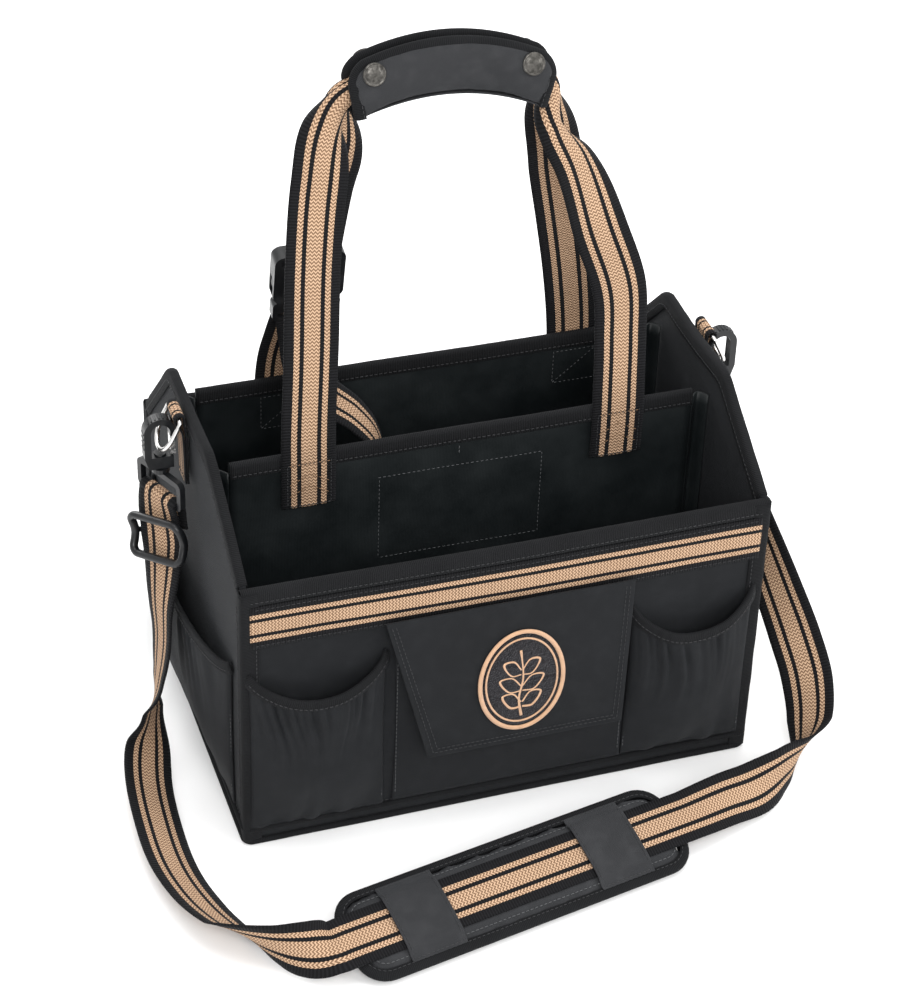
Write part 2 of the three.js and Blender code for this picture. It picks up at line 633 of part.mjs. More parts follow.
function buildPad() {
  const { along, across, normal } = padFrame();
  const pad = new THREE.Group();
  pad.position.set(...PAD_CENTRE);
  pad.quaternion.setFromRotationMatrix(new THREE.Matrix4().makeBasis(along, across, normal));
  bag.add(pad);
  const outline = roundedRectangle(PAD_LENGTH, PAD_WIDTH, 22);
  const body = new THREE.ExtrudeGeometry(outline, { depth: PAD_THICK, bevelEnabled: false, curveSegments: 6 });
  addPart('shoulder_pad', 'fabric', body.translate(0, 0, -PAD_THICK / 2), pad);
  const low = PAD_THICK / 2 + GAP;
  const high = STRAP_OVER_PAD + WEBBING_THICK / 2 + 0.5;
  const skin = 1.2;
  const bridge = polygon([[-27, low], [-23.5, low], [-22, high], [22, high], [23.5, low], [27, low],
    [23.5, high + skin], [-23.5, high + skin]]);
  for (const [name, offset] of [['pad_left_sleeve', -SLEEVE_OFFSET], ['pad_right_sleeve', SLEEVE_OFFSET]]) {
    const sleeve = plateYZ(bridge, offset - SLEEVE_LENGTH / 2, offset + SLEEVE_LENGTH / 2);
    addPart(name, 'fabric', sleeve, pad);
  }
}

function buildSlider() {
  const slider = new THREE.Group();
  slider.position.set(-218.15, -3.4, 182);
  const down = new THREE.Vector3(-0.01, -0.253, -0.967).normalize();
  const outward = new THREE.Vector3(-0.835, -0.54, 0.14);
  outward.addScaledVector(down, -outward.dot(down)).normalize();
  const side = new THREE.Vector3().crossVectors(down, outward);
  slider.quaternion.setFromRotationMatrix(new THREE.Matrix4().makeBasis(side, down, outward));
  bag.add(slider);
  const rails = [-24, 24].map((x) => block(x - 2.5, x + 2.5, -17, 17, -5.2, 6.4));
  const bars = [-15, 15].map((y) => block(-24, 24, y - 2, y + 2, 3.9, 6.4));
  const middle = block(-24, 24, -2, 2, -4.8, -2.8);
  addPart('strap_slider', 'plastic', join(...rails, ...bars, middle), slider);
}

buildBase();
buildWalls();
buildBindings();
buildPartition('front_partition', FRONT_PARTITION_Y);
buildPartition('rear_partition', REAR_PARTITION_Y);
buildPockets();
buildFrontTrim();
buildHandleLoops();
buildGrip();
buildBuckle();
buildHardware('left', Math.PI);
buildHardware('right', 0);
buildStrap();
buildPad();
buildSlider();

export default bag;
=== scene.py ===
# Open-topped garden tool bag: carrying handles, shoulder strap, pockets and trim,
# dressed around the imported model. Metres, +Z up, front towards -Y.
import math
import bpy
from mathutils import Matrix, Vector, noise


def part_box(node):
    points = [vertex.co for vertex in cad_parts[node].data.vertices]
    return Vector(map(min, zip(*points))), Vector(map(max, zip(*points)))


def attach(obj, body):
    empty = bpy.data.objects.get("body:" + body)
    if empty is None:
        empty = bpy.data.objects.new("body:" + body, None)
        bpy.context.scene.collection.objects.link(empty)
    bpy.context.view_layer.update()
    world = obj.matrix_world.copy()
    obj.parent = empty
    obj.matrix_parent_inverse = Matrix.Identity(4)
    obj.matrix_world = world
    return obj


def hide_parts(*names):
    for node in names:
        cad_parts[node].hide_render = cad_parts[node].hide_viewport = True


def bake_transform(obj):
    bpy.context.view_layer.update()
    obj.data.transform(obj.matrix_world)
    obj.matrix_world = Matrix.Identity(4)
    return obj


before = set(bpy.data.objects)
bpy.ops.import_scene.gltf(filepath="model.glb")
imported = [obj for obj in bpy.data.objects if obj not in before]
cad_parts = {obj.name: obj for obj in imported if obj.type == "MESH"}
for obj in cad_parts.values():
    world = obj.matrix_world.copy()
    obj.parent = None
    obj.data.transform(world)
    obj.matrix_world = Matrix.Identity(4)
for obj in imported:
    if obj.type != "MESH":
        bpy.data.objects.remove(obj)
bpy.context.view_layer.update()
MM = 0.001
scene = bpy.context.scene


def mm(x, y, z):
    return Vector((x, y, z)) * MM


def wander(a, b, c):
    """Smooth noise, from about -1 to 1."""
    return noise.noise(Vector((a, b, c)))


# Camera

CAMERA_AT = (-0.5602, -1.6076, 1.4230)
CAMERA_RIGHT = Vector((0.9496, -0.3120, 0.0304))
CAMERA_UP = Vector((0.1620, 0.5714, 0.8045))


def make_camera():
    data = bpy.data.cameras.new("camera")
    data.lens = 101.6
    data.sensor_width = 36
    data.clip_end = 20
    camera = bpy.data.objects.new("camera", data)
    scene.collection.objects.link(camera)
    right = CAMERA_RIGHT.normalized()
    back = right.cross(CAMERA_UP).normalized()
    up = back.cross(right)
    turn = Matrix((right, up, back)).transposed()
    camera.matrix_world = Matrix.Translation(CAMERA_AT) @ turn.to_4x4()
    scene.camera = camera


make_camera()

# Materials


class Shader:
    """A node material, with short calls for the arithmetic between its nodes."""

    def __init__(self, name, roughness, metallic=0.0, sheen=0.0, specular=0.5):
        self.material = bpy.data.materials.new(name)
        self.material.use_nodes = True
        self.nodes = self.material.node_tree.nodes
        self.links = self.material.node_tree.links
        self.surface = self.nodes["Principled BSDF"]
        self.surface.inputs["Roughness"].default_value = roughness
        self.surface.inputs["Metallic"].default_value = metallic
        self.surface.inputs["Specular IOR Level"].default_value = specular
        if sheen:
            self.surface.inputs["Sheen Weight"].default_value = sheen
            self.surface.inputs["Sheen Roughness"].default_value = 0.45
            self.surface.inputs["Sheen Tint"].default_value = (0.55, 0.58, 0.62, 1)

    def put(self, socket, value):
        if isinstance(value, bpy.types.NodeSocket):
            self.links.new(value, socket)
        else:
            socket.default_value = value

    def math(self, operation, a, b=0.0, c=0.0):
        node = self.nodes.new("ShaderNodeMath")
        node.operation = operation
        for socket, value in zip(node.inputs, (a, b, c)):
            self.put(socket, value)
        return node.outputs[0]

    def add(self, a, b):
        return self.math("ADD", a, b)

    def times(self, a, b):
        return self.math("MULTIPLY", a, b)

    def scaled(self, value, factor, plus):
        return self.math("MULTIPLY_ADD", value, factor, plus)

    def object_axes(self):
        place = self.nodes.new("ShaderNodeTexCoord")
        split = self.nodes.new("ShaderNodeSeparateXYZ")
        self.links.new(place.outputs["Object"], split.inputs[0])
        return place.outputs["Object"], split.outputs[0], split.outputs[1], split.outputs[2]

    def sheet_axes(self):
        place = self.nodes.new("ShaderNodeUVMap")
        place.uv_map = "UVMap"
        split = self.nodes.new("ShaderNodeSeparateXYZ")
        self.links.new(place.outputs[0], split.inputs[0])
        return split.outputs[0], split.outputs[1]

    def noise(self, at, scale, detail=3.0, roughness=0.55):
        node = self.nodes.new("ShaderNodeTexNoise")
        self.links.new(at, node.inputs["Vector"])
        node.inputs["Scale"].default_value = scale
        node.inputs["Detail"].default_value = detail
        node.inputs["Roughness"].default_value = roughness
        return node.outputs[0]

    def cells(self, at, scale):
        node = self.nodes.new("ShaderNodeTexVoronoi")
        self.links.new(at, node.inputs["Vector"])
        node.inputs["Scale"].default_value = scale
        return node.outputs["Distance"]

    def span(self, value, low, high, to_low=0.0, to_high=1.0):
        node = self.nodes.new("ShaderNodeMapRange")
        for socket, item in zip(node.inputs, (value, low, high, to_low, to_high)):
            self.put(socket, item)
        return node.outputs[0]

    def mix(self, share, a, b):
        node = self.nodes.new("ShaderNodeMix")
        node.data_type = "RGBA"
        for index, value in ((0, share), (6, a), (7, b)):
            self.put(node.inputs[index], value)
        return node.outputs[2]

    def wave(self, value, frequency):
        return self.math("SINE", self.scaled(value, frequency * 2 * math.pi, 0.0))

    def finish(self, colour, height=None, strength=0.3, distance=0.0004, roughness=None):
        self.put(self.surface.inputs["Base Color"], colour)
        if roughness is not None:
            self.put(self.surface.inputs["Roughness"], roughness)
        if height is not None:
            bump = self.nodes.new("ShaderNodeBump")
            bump.inputs["Strength"].default_value = strength
            bump.inputs["Distance"].default_value = distance
            self.links.new(height, bump.inputs["Height"])
            self.links.new(bump.outputs[0], self.surface.inputs["Normal"])
        return self.material


def twill_material(name, dark, light, roughness, sheen, threads=2300.0):
    """Diagonal weave that reads on any face, with rubbed and dusty patches."""
    s = Shader(name, roughness, sheen=sheen, specular=0.14)
    at, x, y, z = s.object_axes()
    diagonal = s.add(s.add(x, y), z)
    other = s.math("SUBTRACT", s.add(x, y), z)
    ridges = s.wave(diagonal, threads)
    cross = s.wave(other, threads * 0.5)
    weave = s.span(s.scaled(cross, 0.4, ridges), -1.4, 1.4)
    patches = s.noise(at, 14.0, 4.0)
    rubbed = s.span(s.noise(at, 90.0, 3.0), 0.45, 0.75)
    share = s.scaled(patches, 0.45, s.times(weave, 0.6))
    share = s.scaled(rubbed, 0.18, share)
    colour = s.mix(share, dark, light)
    rough = s.span(patches, 0.3, 0.7, roughness - 0.07, min(roughness + 0.08, 1.0))
    return s.finish(colour, weave, 0.5, 0.0003, rough)


def coated_material(name):
    """The stiff coated cloth of the partitions: fine grid, low sheen, faint scuffs."""
    s = Shader(name, 0.5, specular=0.3)
    at, x, y, z = s.object_axes()
    grid = s.add(s.wave(s.add(x, y), 900.0), s.wave(z, 900.0))
    grid = s.span(grid, -2.0, 2.0)
    scuffs = s.span(s.noise(at, 22.0, 5.0, 0.65), 0.35, 0.7)
    share = s.scaled(grid, 0.25, s.times(scuffs, 0.7))
    colour = s.mix(share, (0.0035, 0.0050, 0.0056, 1), (0.0115, 0.0145, 0.0155, 1))
    return s.finish(colour, grid, 0.22, 0.00025, s.span(scuffs, 0, 1, 0.46, 0.62))


def tape_material(name):
    """Ribbed grosgrain: ribs run across the tape."""
    s = Shader(name, 0.88, sheen=0.03, specular=0.12)
    v = s.sheet_axes()[1]
    ribs = s.wave(v, 750.0)
    at = s.object_axes()[0]
    fibre = s.noise(at, 700.0, 2.0)
    patches = s.noise(at, 30.0, 3.0)
    height = s.scaled(fibre, 0.6, s.span(ribs, -1, 1))
    share = s.scaled(patches, 0.45, s.times(s.span(ribs, -1, 1), 0.45))
    colour = s.mix(share, (0.0018, 0.0019, 0.0022, 1), (0.0155, 0.016, 0.0175, 1))
    return s.finish(colour, height, 0.6, 0.0004)


TAN_LIGHT = (0.60, 0.405, 0.265, 1)
TAN_DARK = (0.165, 0.095, 0.055, 1)


def webbing_material(name, columns, rows):
    """Tan zig-zag weave in one wide and two narrow stripes on ribbed black."""
    s = Shader(name, 0.8, sheen=0.04, specular=0.12)
    u, v = s.sheet_axes()
    off = s.math("ABSOLUTE", s.math("SUBTRACT", u, 0.5))
    edge = s.add(off, s.times(s.wave(v, rows), 0.003))
    centre = s.math("LESS_THAN", edge, 0.145)
    narrow = s.times(s.math("GREATER_THAN", edge, 0.222), s.math("LESS_THAN", edge, 0.325))
    tan = s.math("MAXIMUM", centre, narrow)
    zig = s.math("ABSOLUTE", s.math("SUBTRACT", s.math("FRACT", s.times(u, columns)), 0.5))
    phase = s.scaled(zig, 1.35, s.times(v, rows))
    thread = s.span(s.wave(phase, 1.0), -0.75, 0.8)
    at = s.object_axes()[0]
    fibre = s.noise(at, 900.0, 2.0)
    worn = s.noise(at, 25.0, 3.0)
    share = s.times(thread, s.span(worn, 0.2, 0.8, 0.8, 1.0))
    tan_colour = s.mix(share, TAN_DARK, TAN_LIGHT)
    rib = s.span(s.wave(v, rows * 1.25), -1, 1)
    black_share = s.scaled(fibre, 0.35, s.times(rib, 0.5))
    black_colour = s.mix(black_share, (0.0014, 0.0014, 0.0017, 1), (0.0125, 0.0125, 0.014, 1))
    colour = s.mix(tan, black_colour, tan_colour)
    ridges = s.add(s.times(thread, tan), s.times(rib, s.math("SUBTRACT", 1.0, tan)))
    height = s.scaled(fibre, 0.5, ridges)
    return s.finish(colour, height, 0.75, 0.0005)


def plastic_material(name, roughness, grain=1500.0, strength=0.12):
    s = Shader(name, roughness, specular=0.38)
    at = s.object_axes()[0]
    grains = s.noise(at, grain, 2.0)
    marks = s.span(s.noise(at, 60.0, 4.0), 0.4, 0.7)
    colour = s.mix(marks, (0.0045, 0.005, 0.006, 1), (0.012, 0.013, 0.0145, 1))
    return s.finish(colour, grains, strength, 0.0002, s.span(marks, 0, 1, roughness - 0.06, roughness + 0.1))


def steel_material(name):
    s = Shader(name, 0.2, metallic=1.0)
    at = s.object_axes()[0]
    marks = s.noise(at, 260.0, 4.0)
    colour = s.mix(marks, (0.62, 0.61, 0.60, 1), (0.82, 0.81, 0.79, 1))
    return s.finish(colour, marks, 0.08, 0.0002, s.span(marks, 0.3, 0.7, 0.14, 0.34))


def antique_material(name):
    s = Shader(name, 0.38, metallic=1.0)
    at = s.object_axes()[0]
    dents = s.cells(at, 520.0)
    tarnish = s.span(s.noise(at, 330.0, 4.0), 0.38, 0.66)
    colour = s.mix(tarnish, (0.05, 0.048, 0.044, 1), (0.12, 0.114, 0.105, 1))
    return s.finish(colour, dents, 0.3, 0.0004, s.span(tarnish, 0, 1, 0.55, 0.3))


def thread_material(name, dark, light):
    s = Shader(name, 0.7, sheen=0.1, specular=0.2)
    x, y, z = s.object_axes()[1:]
    twist = s.span(s.wave(s.add(s.add(x, y), z), 1700.0), -1, 1)
    colour = s.mix(twist, dark, light)
    return s.finish(colour, twist, 0.5, 0.0003)


def satin_material(name):
    """Embroidery: fine threads laid across the line of the motif."""
    s = Shader(name, 0.55, sheen=0.4)
    v = s.sheet_axes()[1]
    lines = s.span(s.wave(v, 1450.0), -1, 1)
    at = s.object_axes()[0]
    tone = s.noise(at, 160.0, 3.0)
    share = s.scaled(tone, 0.5, s.times(lines, 0.6))
    colour = s.mix(share, (0.34, 0.17, 0.085, 1), (0.72, 0.45, 0.27, 1))
    return s.finish(colour, lines, 0.6, 0.0005)


def pile_material(name):
    """Looped pile, near black."""
    s = Shader(name, 0.95, sheen=0.2, specular=0.1)
    at = s.object_axes()[0]
    loops = s.cells(at, 900.0)
    tufts = s.noise(at, 420.0, 4.0, 0.7)
    height = s.add(loops, tufts)
    colour = s.mix(s.span(tufts, 0.3, 0.75), (0.003, 0.003, 0.004, 1), (0.035, 0.031, 0.034, 1))
    return s.finish(colour, height, 1.0, 0.0012)


FABRIC = twill_material("fabric", (0.0014, 0.0019, 0.0026, 1), (0.0175, 0.0185, 0.0205, 1), 0.8, 0.05)
PADDING = twill_material("padding", (0.005, 0.0055, 0.0066, 1), (0.044, 0.045, 0.048, 1), 0.8, 0.08, 1900.0)
LINING = coated_material("lining")
TAPE = tape_material("tape")
WEBBING = webbing_material("webbing", 13.0, 15.0)
NARROW_WEBBING = webbing_material("narrow_webbing", 9.0, 10.0)
PLASTIC = plastic_material("plastic", 0.36)
BOARD = plastic_material("board", 0.6, 500.0, 0.3)
STEEL = steel_material("steel")
ANTIQUE = antique_material("antique")
GREY_THREAD = thread_material("grey_thread", (0.035, 0.036, 0.038, 1), (0.15, 0.155, 0.16, 1))
DARK_THREAD = thread_material("dark_thread", (0.012, 0.012, 0.013, 1), (0.055, 0.055, 0.058, 1))
TAN_THREAD = thread_material("tan_thread", (0.10, 0.055, 0.03, 1), (0.30, 0.18, 0.10, 1))
SATIN = satin_material("satin")
PILE = pile_material("pile")

# Mesh tools


def put(obj, body, slot, *nodes):
    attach(obj, body)
    if nodes:
        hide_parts(*nodes)
    return obj


def new_mesh(name, points, faces, material, uvs=None):
    data = bpy.data.meshes.new(name)
    data.from_pydata(points, [], faces)
    data.materials.append(material)
    data.polygons.foreach_set("use_smooth", [True] * len(data.polygons))
    if uvs:
        layer = data.uv_layers.new(name="UVMap")
        for loop in data.loops:
            layer.data[loop.index].uv = uvs[loop.vertex_index]
    data.update()
    obj = bpy.data.objects.new(name, data)
    scene.collection.objects.link(obj)
    return obj


def lengths_along(points):
    found = [0.0]
    for a, b in zip(points, points[1:]):
        found.append(found[-1] + (b - a).length)
    return found


def sheet(name, rows, material, thick, uvs=None):
    """A quad sheet through rows of points, thickened; its UV map is in metres."""
    wide = len(rows[0])
    points = [p for row in rows for p in row]
    faces = []
    for i in range(len(rows) - 1):
        for j in range(wide - 1):
            a = i * wide + j
            faces.append((a, a + 1, a + wide + 1, a + wide))
    if uvs is None:
        across = lengths_along(rows[len(rows) // 2])
        along = lengths_along([row[wide // 2] for row in rows])
        uvs = [(a, b) for b in along for a in across]
    obj = new_mesh(name, points, faces, material, uvs)
    shell = obj.modifiers.new("thickness", "SOLIDIFY")
    shell.thickness = thick
    shell.offset = 0.0
    return obj


def band_faces(rings, wide, closed=False):
    """Faces between neighbouring rings of wide points each."""
    faces = []
    for i in range(rings if closed else rings - 1):
        ahead = (i + 1) % rings * wide
        for j in range(wide):
            k = (j + 1) % wide
            faces.append((i * wide + j, i * wide + k, ahead + k, ahead + j))
    return faces


def loft(name, rings, material):
    """A closed body through rings of points, with its ends filled."""
    wide = len(rings[0])
    points = [p for ring in rings for p in ring]
    last = (len(rings) - 1) * wide
    ends = tuple(range(wide - 1, -1, -1)), tuple(range(last, last + wide))
    faces = [ends[0], *band_faces(len(rings), wide), ends[1]]
    around = lengths_along(rings[len(rings) // 2])
    along = lengths_along([ring[0] for ring in rings])
    uvs = [(a, b) for b in along for a in around]
    return new_mesh(name, points, faces, material, uvs)


def grid(place, rows, columns):
    """Rows of place(u, v): u runs across each row and v from row to row, from 0 to 1."""
    return [[place(j / columns, i / rows) for j in range(columns + 1)] for i in range(rows + 1)]


def rounded_rectangle(half_long, half_wide, radius, corner_steps, spacing):
    """Points round a rectangle, in mm, no further apart than about spacing."""
    corners = []
    for turn, (sx, sy) in enumerate(((1, 1), (-1, 1), (-1, -1), (1, -1))):
        for k in range(corner_steps + 1):
            angle = math.pi / 2 * (turn + k / corner_steps)
            corners.append(Vector((sx * (half_long - radius) + radius * math.cos(angle),
                                   sy * (half_wide - radius) + radius * math.sin(angle))))
    dense = []
    for a, b in zip(corners, corners[1:] + corners[:1]):
        count = max(1, int((b - a).length / spacing))
        dense += [a.lerp(b, k / count) for k in range(count)]
    return dense


def frame_at(points, index, closed):
    count = len(points)
    ahead = points[(index + 1) % count] if closed else points[min(index + 1, count - 1)]
    behind = points[index - 1] if closed or index else points[0]
    return (ahead - behind).normalized()


TUBE_AXIS = Vector((0.13, 0.31, 0.94))


def tube(name, points, radius, material, sides=12, closed=False, flat=1.0, flat_axis=TUBE_AXIS):
    """A round cord of one radius through points, or flattened along flat_axis."""
    rings = []
    for i, p in enumerate(points):
        tangent = frame_at(points, i, closed)
        side = tangent.cross(flat_axis).normalized()
        top = side.cross(tangent).normalized()
        ring = []
        for k in range(sides):
            angle = 2 * math.pi * k / sides
            ring.append(p + side * (radius * math.cos(angle)) + top * (radius * flat * math.sin(angle)))
        rings.append(ring)
    if not closed:
        return loft(name, rings, material)
    uvs = [(j / sides * radius * 6, v) for v in lengths_along(points) for j in range(sides)]
    faces = band_faces(len(rings), sides, True)
    return new_mesh(name, [p for ring in rings for p in ring], faces, material, uvs)


LATHE_SIDES = 40


def lathe(name, profile, centre, axis, material):
    """Profile pairs of radius and height in mm, turned about axis through centre."""
    side = axis.orthogonal().normalized()
    top = axis.cross(side)
    rings = []
    for radius, height in profile:
        ring = []
        for k in range(LATHE_SIDES):
            angle = 2 * math.pi * k / LATHE_SIDES
            spoke = side * math.cos(angle) + top * math.sin(angle)
            ring.append(centre + spoke * (radius * MM) + axis * (height * MM))
        rings.append(ring)
    return loft(name, rings, material)


def smooth_curve(stops, count):
    """Points on a centripetal Catmull-Rom curve through stops."""
    last = len(stops) - 1
    found = []
    for k in range(count + 1):
        at = k / count * last
        i = min(int(at), last - 1)
        w = at - i
        p1, p2 = stops[i], stops[i + 1]
        p0 = stops[i - 1] if i else p1 * 2 - p2
        p3 = stops[i + 2] if i + 2 <= last else p2 * 2 - p1
        d0, d1, d2 = [max((b - a).length, 1e-6) ** 0.5 for a, b in ((p0, p1), (p1, p2), (p2, p3))]
        t1 = ((p1 - p0) / d0 - (p2 - p0) / (d0 + d1) + (p2 - p1) / d1) * d1
        t2 = ((p2 - p1) / d1 - (p3 - p1) / (d1 + d2) + (p3 - p2) / d2) * d1
        c2 = (p2 - p1) * 3 - t1 * 2 - t2
        c3 = (p1 - p2) * 2 + t1 + t2
        found.append(p1 + t1 * w + c2 * w * w + c3 * w ** 3)
    return found


def ribbon(name, stops, steps, width=40.0, thick=1.6, columns=14, curl_at=None, cup=0.35, material=None):
    """Flat webbing. A stop is x, y, z in mm and the direction its outer face looks.

    curl_at(share) gives how tightly the two edges roll back, and how deep that
    roll is next to a round one."""
    places = [mm(*stop[:3]) for stop in stops]
    facing = [Vector(stop[3:]) for stop in stops]
    path = smooth_curve(places, steps)
    along = lengths_along(path)
    rows, uvs = [], []
    for k, p in enumerate(path):
        share = k / steps
        at = share * (len(stops) - 1)
        i = min(int(at), len(stops) - 2)
        tangent = frame_at(path, k, False)
        normal = facing[i].lerp(facing[i + 1], at - i)
        normal = (normal - tangent * normal.dot(tangent)).normalized()
        side = normal.cross(tangent)
        curl, depth = curl_at(share) if curl_at else (0.0, 1.0)
        row = []
        for j in range(columns + 1):
            u = j / columns - 0.5
            s = u * width
            if abs(curl) > 1e-4:
                across, back = math.sin(s * curl) / curl, depth * (1 - math.cos(s * curl)) / curl
            else:
                across, back = s, 0.0
            ripple = 0.12 * wander(s * 0.06, along[k] * 34, 3.1)
            back += cup * (4 * u * u) + ripple
            row.append(p + side * (across * MM) - normal * (back * MM))
            uvs.append((j / columns, along[k] / (width * MM)))
        rows.append(row)
    obj = sheet(name, rows, material or WEBBING, thick * MM, uvs)
    return obj, path


def smoothstep(value, low, high):
    t = min(max((value - low) / (high - low), 0.0), 1.0)
    return t * t * (3 - 2 * t)


def folded_tape(name, rows, line, spacing, thick):
    """A tape from rows of cross-section points along line, spacing mm apart."""
    uvs = [(j * spacing * MM, v) for v in lengths_along(line) for j in range(len(rows[0]))]
    return sheet(name, rows, TAPE, thick * MM, uvs)


# Half of a tape's fold: shares of its half thickness and of its height, from its top down.
FOLD = ((0.5, 0.0), (0.92, -0.07), (1.05, -0.22), (1.06, -0.6), (1.0, -1.0))
FOLDED = (*reversed(FOLD), (0.0, 0.02), *((-a, b) for a, b in FOLD))


def edge_tape(name, line, outs, height, half, seed):
    """A tape folded over an edge. outs are the directions its outer side faces."""
    rows = []
    for i, p in enumerate(line):
        out = outs[i] if isinstance(outs, list) else outs
        up = out.cross(frame_at(line, i, False)).normalized()
        if up.z < 0:
            up = -up
        wobble = 0.25 * wander(i * 0.31, seed, 1.7)
        rows.append([p + out * ((a * half + wobble * 0.4) * MM) + up * ((b * height + wobble) * MM)
                     for a, b in FOLDED])
    return folded_tape(name, rows, line, height * 0.2, 0.7)


# A stitch's swelling along its length, and how many sides it has.
STITCH_RINGS = ((-0.5, 0.25), (-0.36, 0.9), (0.0, 1.1), (0.36, 0.9), (0.5, 0.25))
STITCH_SIDES = 6


class Stitching:
    """Stitches, gathered into one piece for each body and thread."""

    def __init__(self):
        self.groups = {}

    def line(self, body, thread, points, outs, length=2.6, gap=1.1, radius=0.32):
        points_list, faces = self.groups.setdefault((body, thread.name), ([], []))
        along = lengths_along(points)
        step = (length + gap) * MM
        count = int(along[-1] / step)
        if count < 1:
            return
        slack = (along[-1] - count * step) / 2
        seg = 0
        for n in range(count):
            middle = slack + (n + 0.5) * step
            while seg < len(along) - 2 and along[seg + 1] < middle:
                seg += 1
            share = (middle - along[seg]) / max(along[seg + 1] - along[seg], 1e-9)
            centre = points[seg].lerp(points[seg + 1], share)
            tangent = (points[seg + 1] - points[seg]).normalized()
            out = outs[seg] if isinstance(outs, list) else outs
            side = tangent.cross(out).normalized()
            top = side.cross(tangent)
            start = len(points_list)
            for along_share, swell in STITCH_RINGS:
                lift = radius * (0.35 * (1 - 4 * along_share ** 2) - 0.1)
                r = radius * swell * MM
                for k in range(STITCH_SIDES):
                    angle = 2 * math.pi * k / STITCH_SIDES
                    points_list.append(
                        centre + tangent * (along_share * length * MM) + side * (r * math.cos(angle))
                        + top * (r * math.sin(angle) + lift * MM))
            around = range(STITCH_SIDES)
            far = start + STITCH_SIDES * (len(STITCH_RINGS) - 1)
            faces.append(tuple(start + k for k in reversed(around)))
            faces += [tuple(start + k for k in face) for face in band_faces(len(STITCH_RINGS), STITCH_SIDES)]
            faces.append(tuple(far + k for k in around))

    def build(self):
        for (body, thread), (points, faces) in self.groups.items():
            obj = new_mesh(f"stitches_{body}_{thread}", points, faces, bpy.data.materials[thread])
            put(obj, body, "binding")


stitches = Stitching()
CLOTH_FRAMES = 20


def inflate(obj, voxel, pressure, cap, keep_above=None):
    """Fills a closed soft body with air for a moment, and keeps the shape it takes."""
    remesh = obj.modifiers.new("remesh", "REMESH")
    remesh.mode = "VOXEL"
    remesh.voxel_size = voxel * MM
    remesh.use_smooth_shade = True
    apply_modifiers(obj)
    before = [v.co.copy() for v in obj.data.vertices]
    cloth = obj.modifiers.new("cloth", "CLOTH")
    cloth.settings.quality = 4
    cloth.settings.use_pressure = True
    cloth.settings.uniform_pressure_force = pressure
    cloth.settings.effector_weights.gravity = 0
    cloth.collision_settings.use_collision = False
    for number in range(1, CLOTH_FRAMES + 1):
        scene.frame_set(number)
    shaped = obj.evaluated_get(bpy.context.evaluated_depsgraph_get()).to_mesh()
    after = [v.co.copy() for v in shaped.vertices]
    obj.modifiers.remove(cloth)
    scene.frame_set(1)
    for v, a, b in zip(obj.data.vertices, before, after):
        move = b - a
        if move.length > cap * MM:
            move *= cap * MM / move.length
        v.co = a + move
        if keep_above is not None:
            v.co.z = max(v.co.z, keep_above * MM)
    smooth = obj.modifiers.new("relax", "SMOOTH")
    smooth.iterations = 3
    smooth.factor = 0.5
    fine = obj.modifiers.new("fine", "SUBSURF")
    fine.levels = fine.render_levels = 1
    apply_modifiers(obj)


def apply_modifiers(obj):
    graph = bpy.context.evaluated_depsgraph_get()
    made = bpy.data.meshes.new_from_object(obj.evaluated_get(graph))
    old = obj.data
    obj.modifiers.clear()
    obj.data = made
    bpy.data.meshes.remove(old)
    obj.data.polygons.foreach_set("use_smooth", [True] * len(obj.data.polygons))


def repaint(node, material):
    """A CAD node that keeps its shape and gets a better finish."""
    obj = bpy.data.objects[node]
    obj.data.materials.clear()
    obj.data.materials.append(material)
    return obj


def round_edges(node, material, width):
    obj = repaint(node, material)
    bevel = obj.modifiers.new("soft_edges", "BEVEL")
    bevel.width = width * MM
    bevel.segments = 3
    bevel.limit_method = "ANGLE"
    bevel.angle_limit = math.radians(38)
    return obj


# Shoulder strap

STRAP_WIDTH = 40.0
EYE_X, EYE_Y, EYE_Z = 215.1, 5.0, 213.0
ROLL = 4.5
PAD_CENTRE = Vector((-26.0, -254.0, 16.0))
PAD_ALONG = Vector((0.98163, 0.19081, 0.0))
PAD_ACROSS = Vector((-0.18147, 0.93358, 0.30902))
PAD_NORMAL = PAD_ALONG.cross(PAD_ACROSS)
STRAP_OVER_PAD = 5.4
LEFT_EYE_TURN = 24.0


def roll_over(x):
    found = []
    for k in range(5):
        angle = math.pi * k / 4
        c, s = math.cos(angle), math.sin(angle)
        found.append((x + ROLL * c, EYE_Y, EYE_Z + ROLL * s, c, 0, s))
    return found


def on_pad(along, across, up):
    return PAD_CENTRE + PAD_ALONG * along + PAD_ACROSS * across + PAD_NORMAL * up


def towards_front(stop):
    """Turns the strap's top, and the way it faces, with the left eye that it hangs on."""
    x, y, z, nx, ny, nz = stop
    turn = Matrix.Rotation(math.radians(LEFT_EYE_TURN) * min(max((z - 140) / 36, 0), 1), 3, "Z")
    place = turn @ Vector((x + EYE_X, y - EYE_Y, z))
    return (place.x - EYE_X, place.y + EYE_Y, z, *(turn @ Vector((nx, ny, nz))))


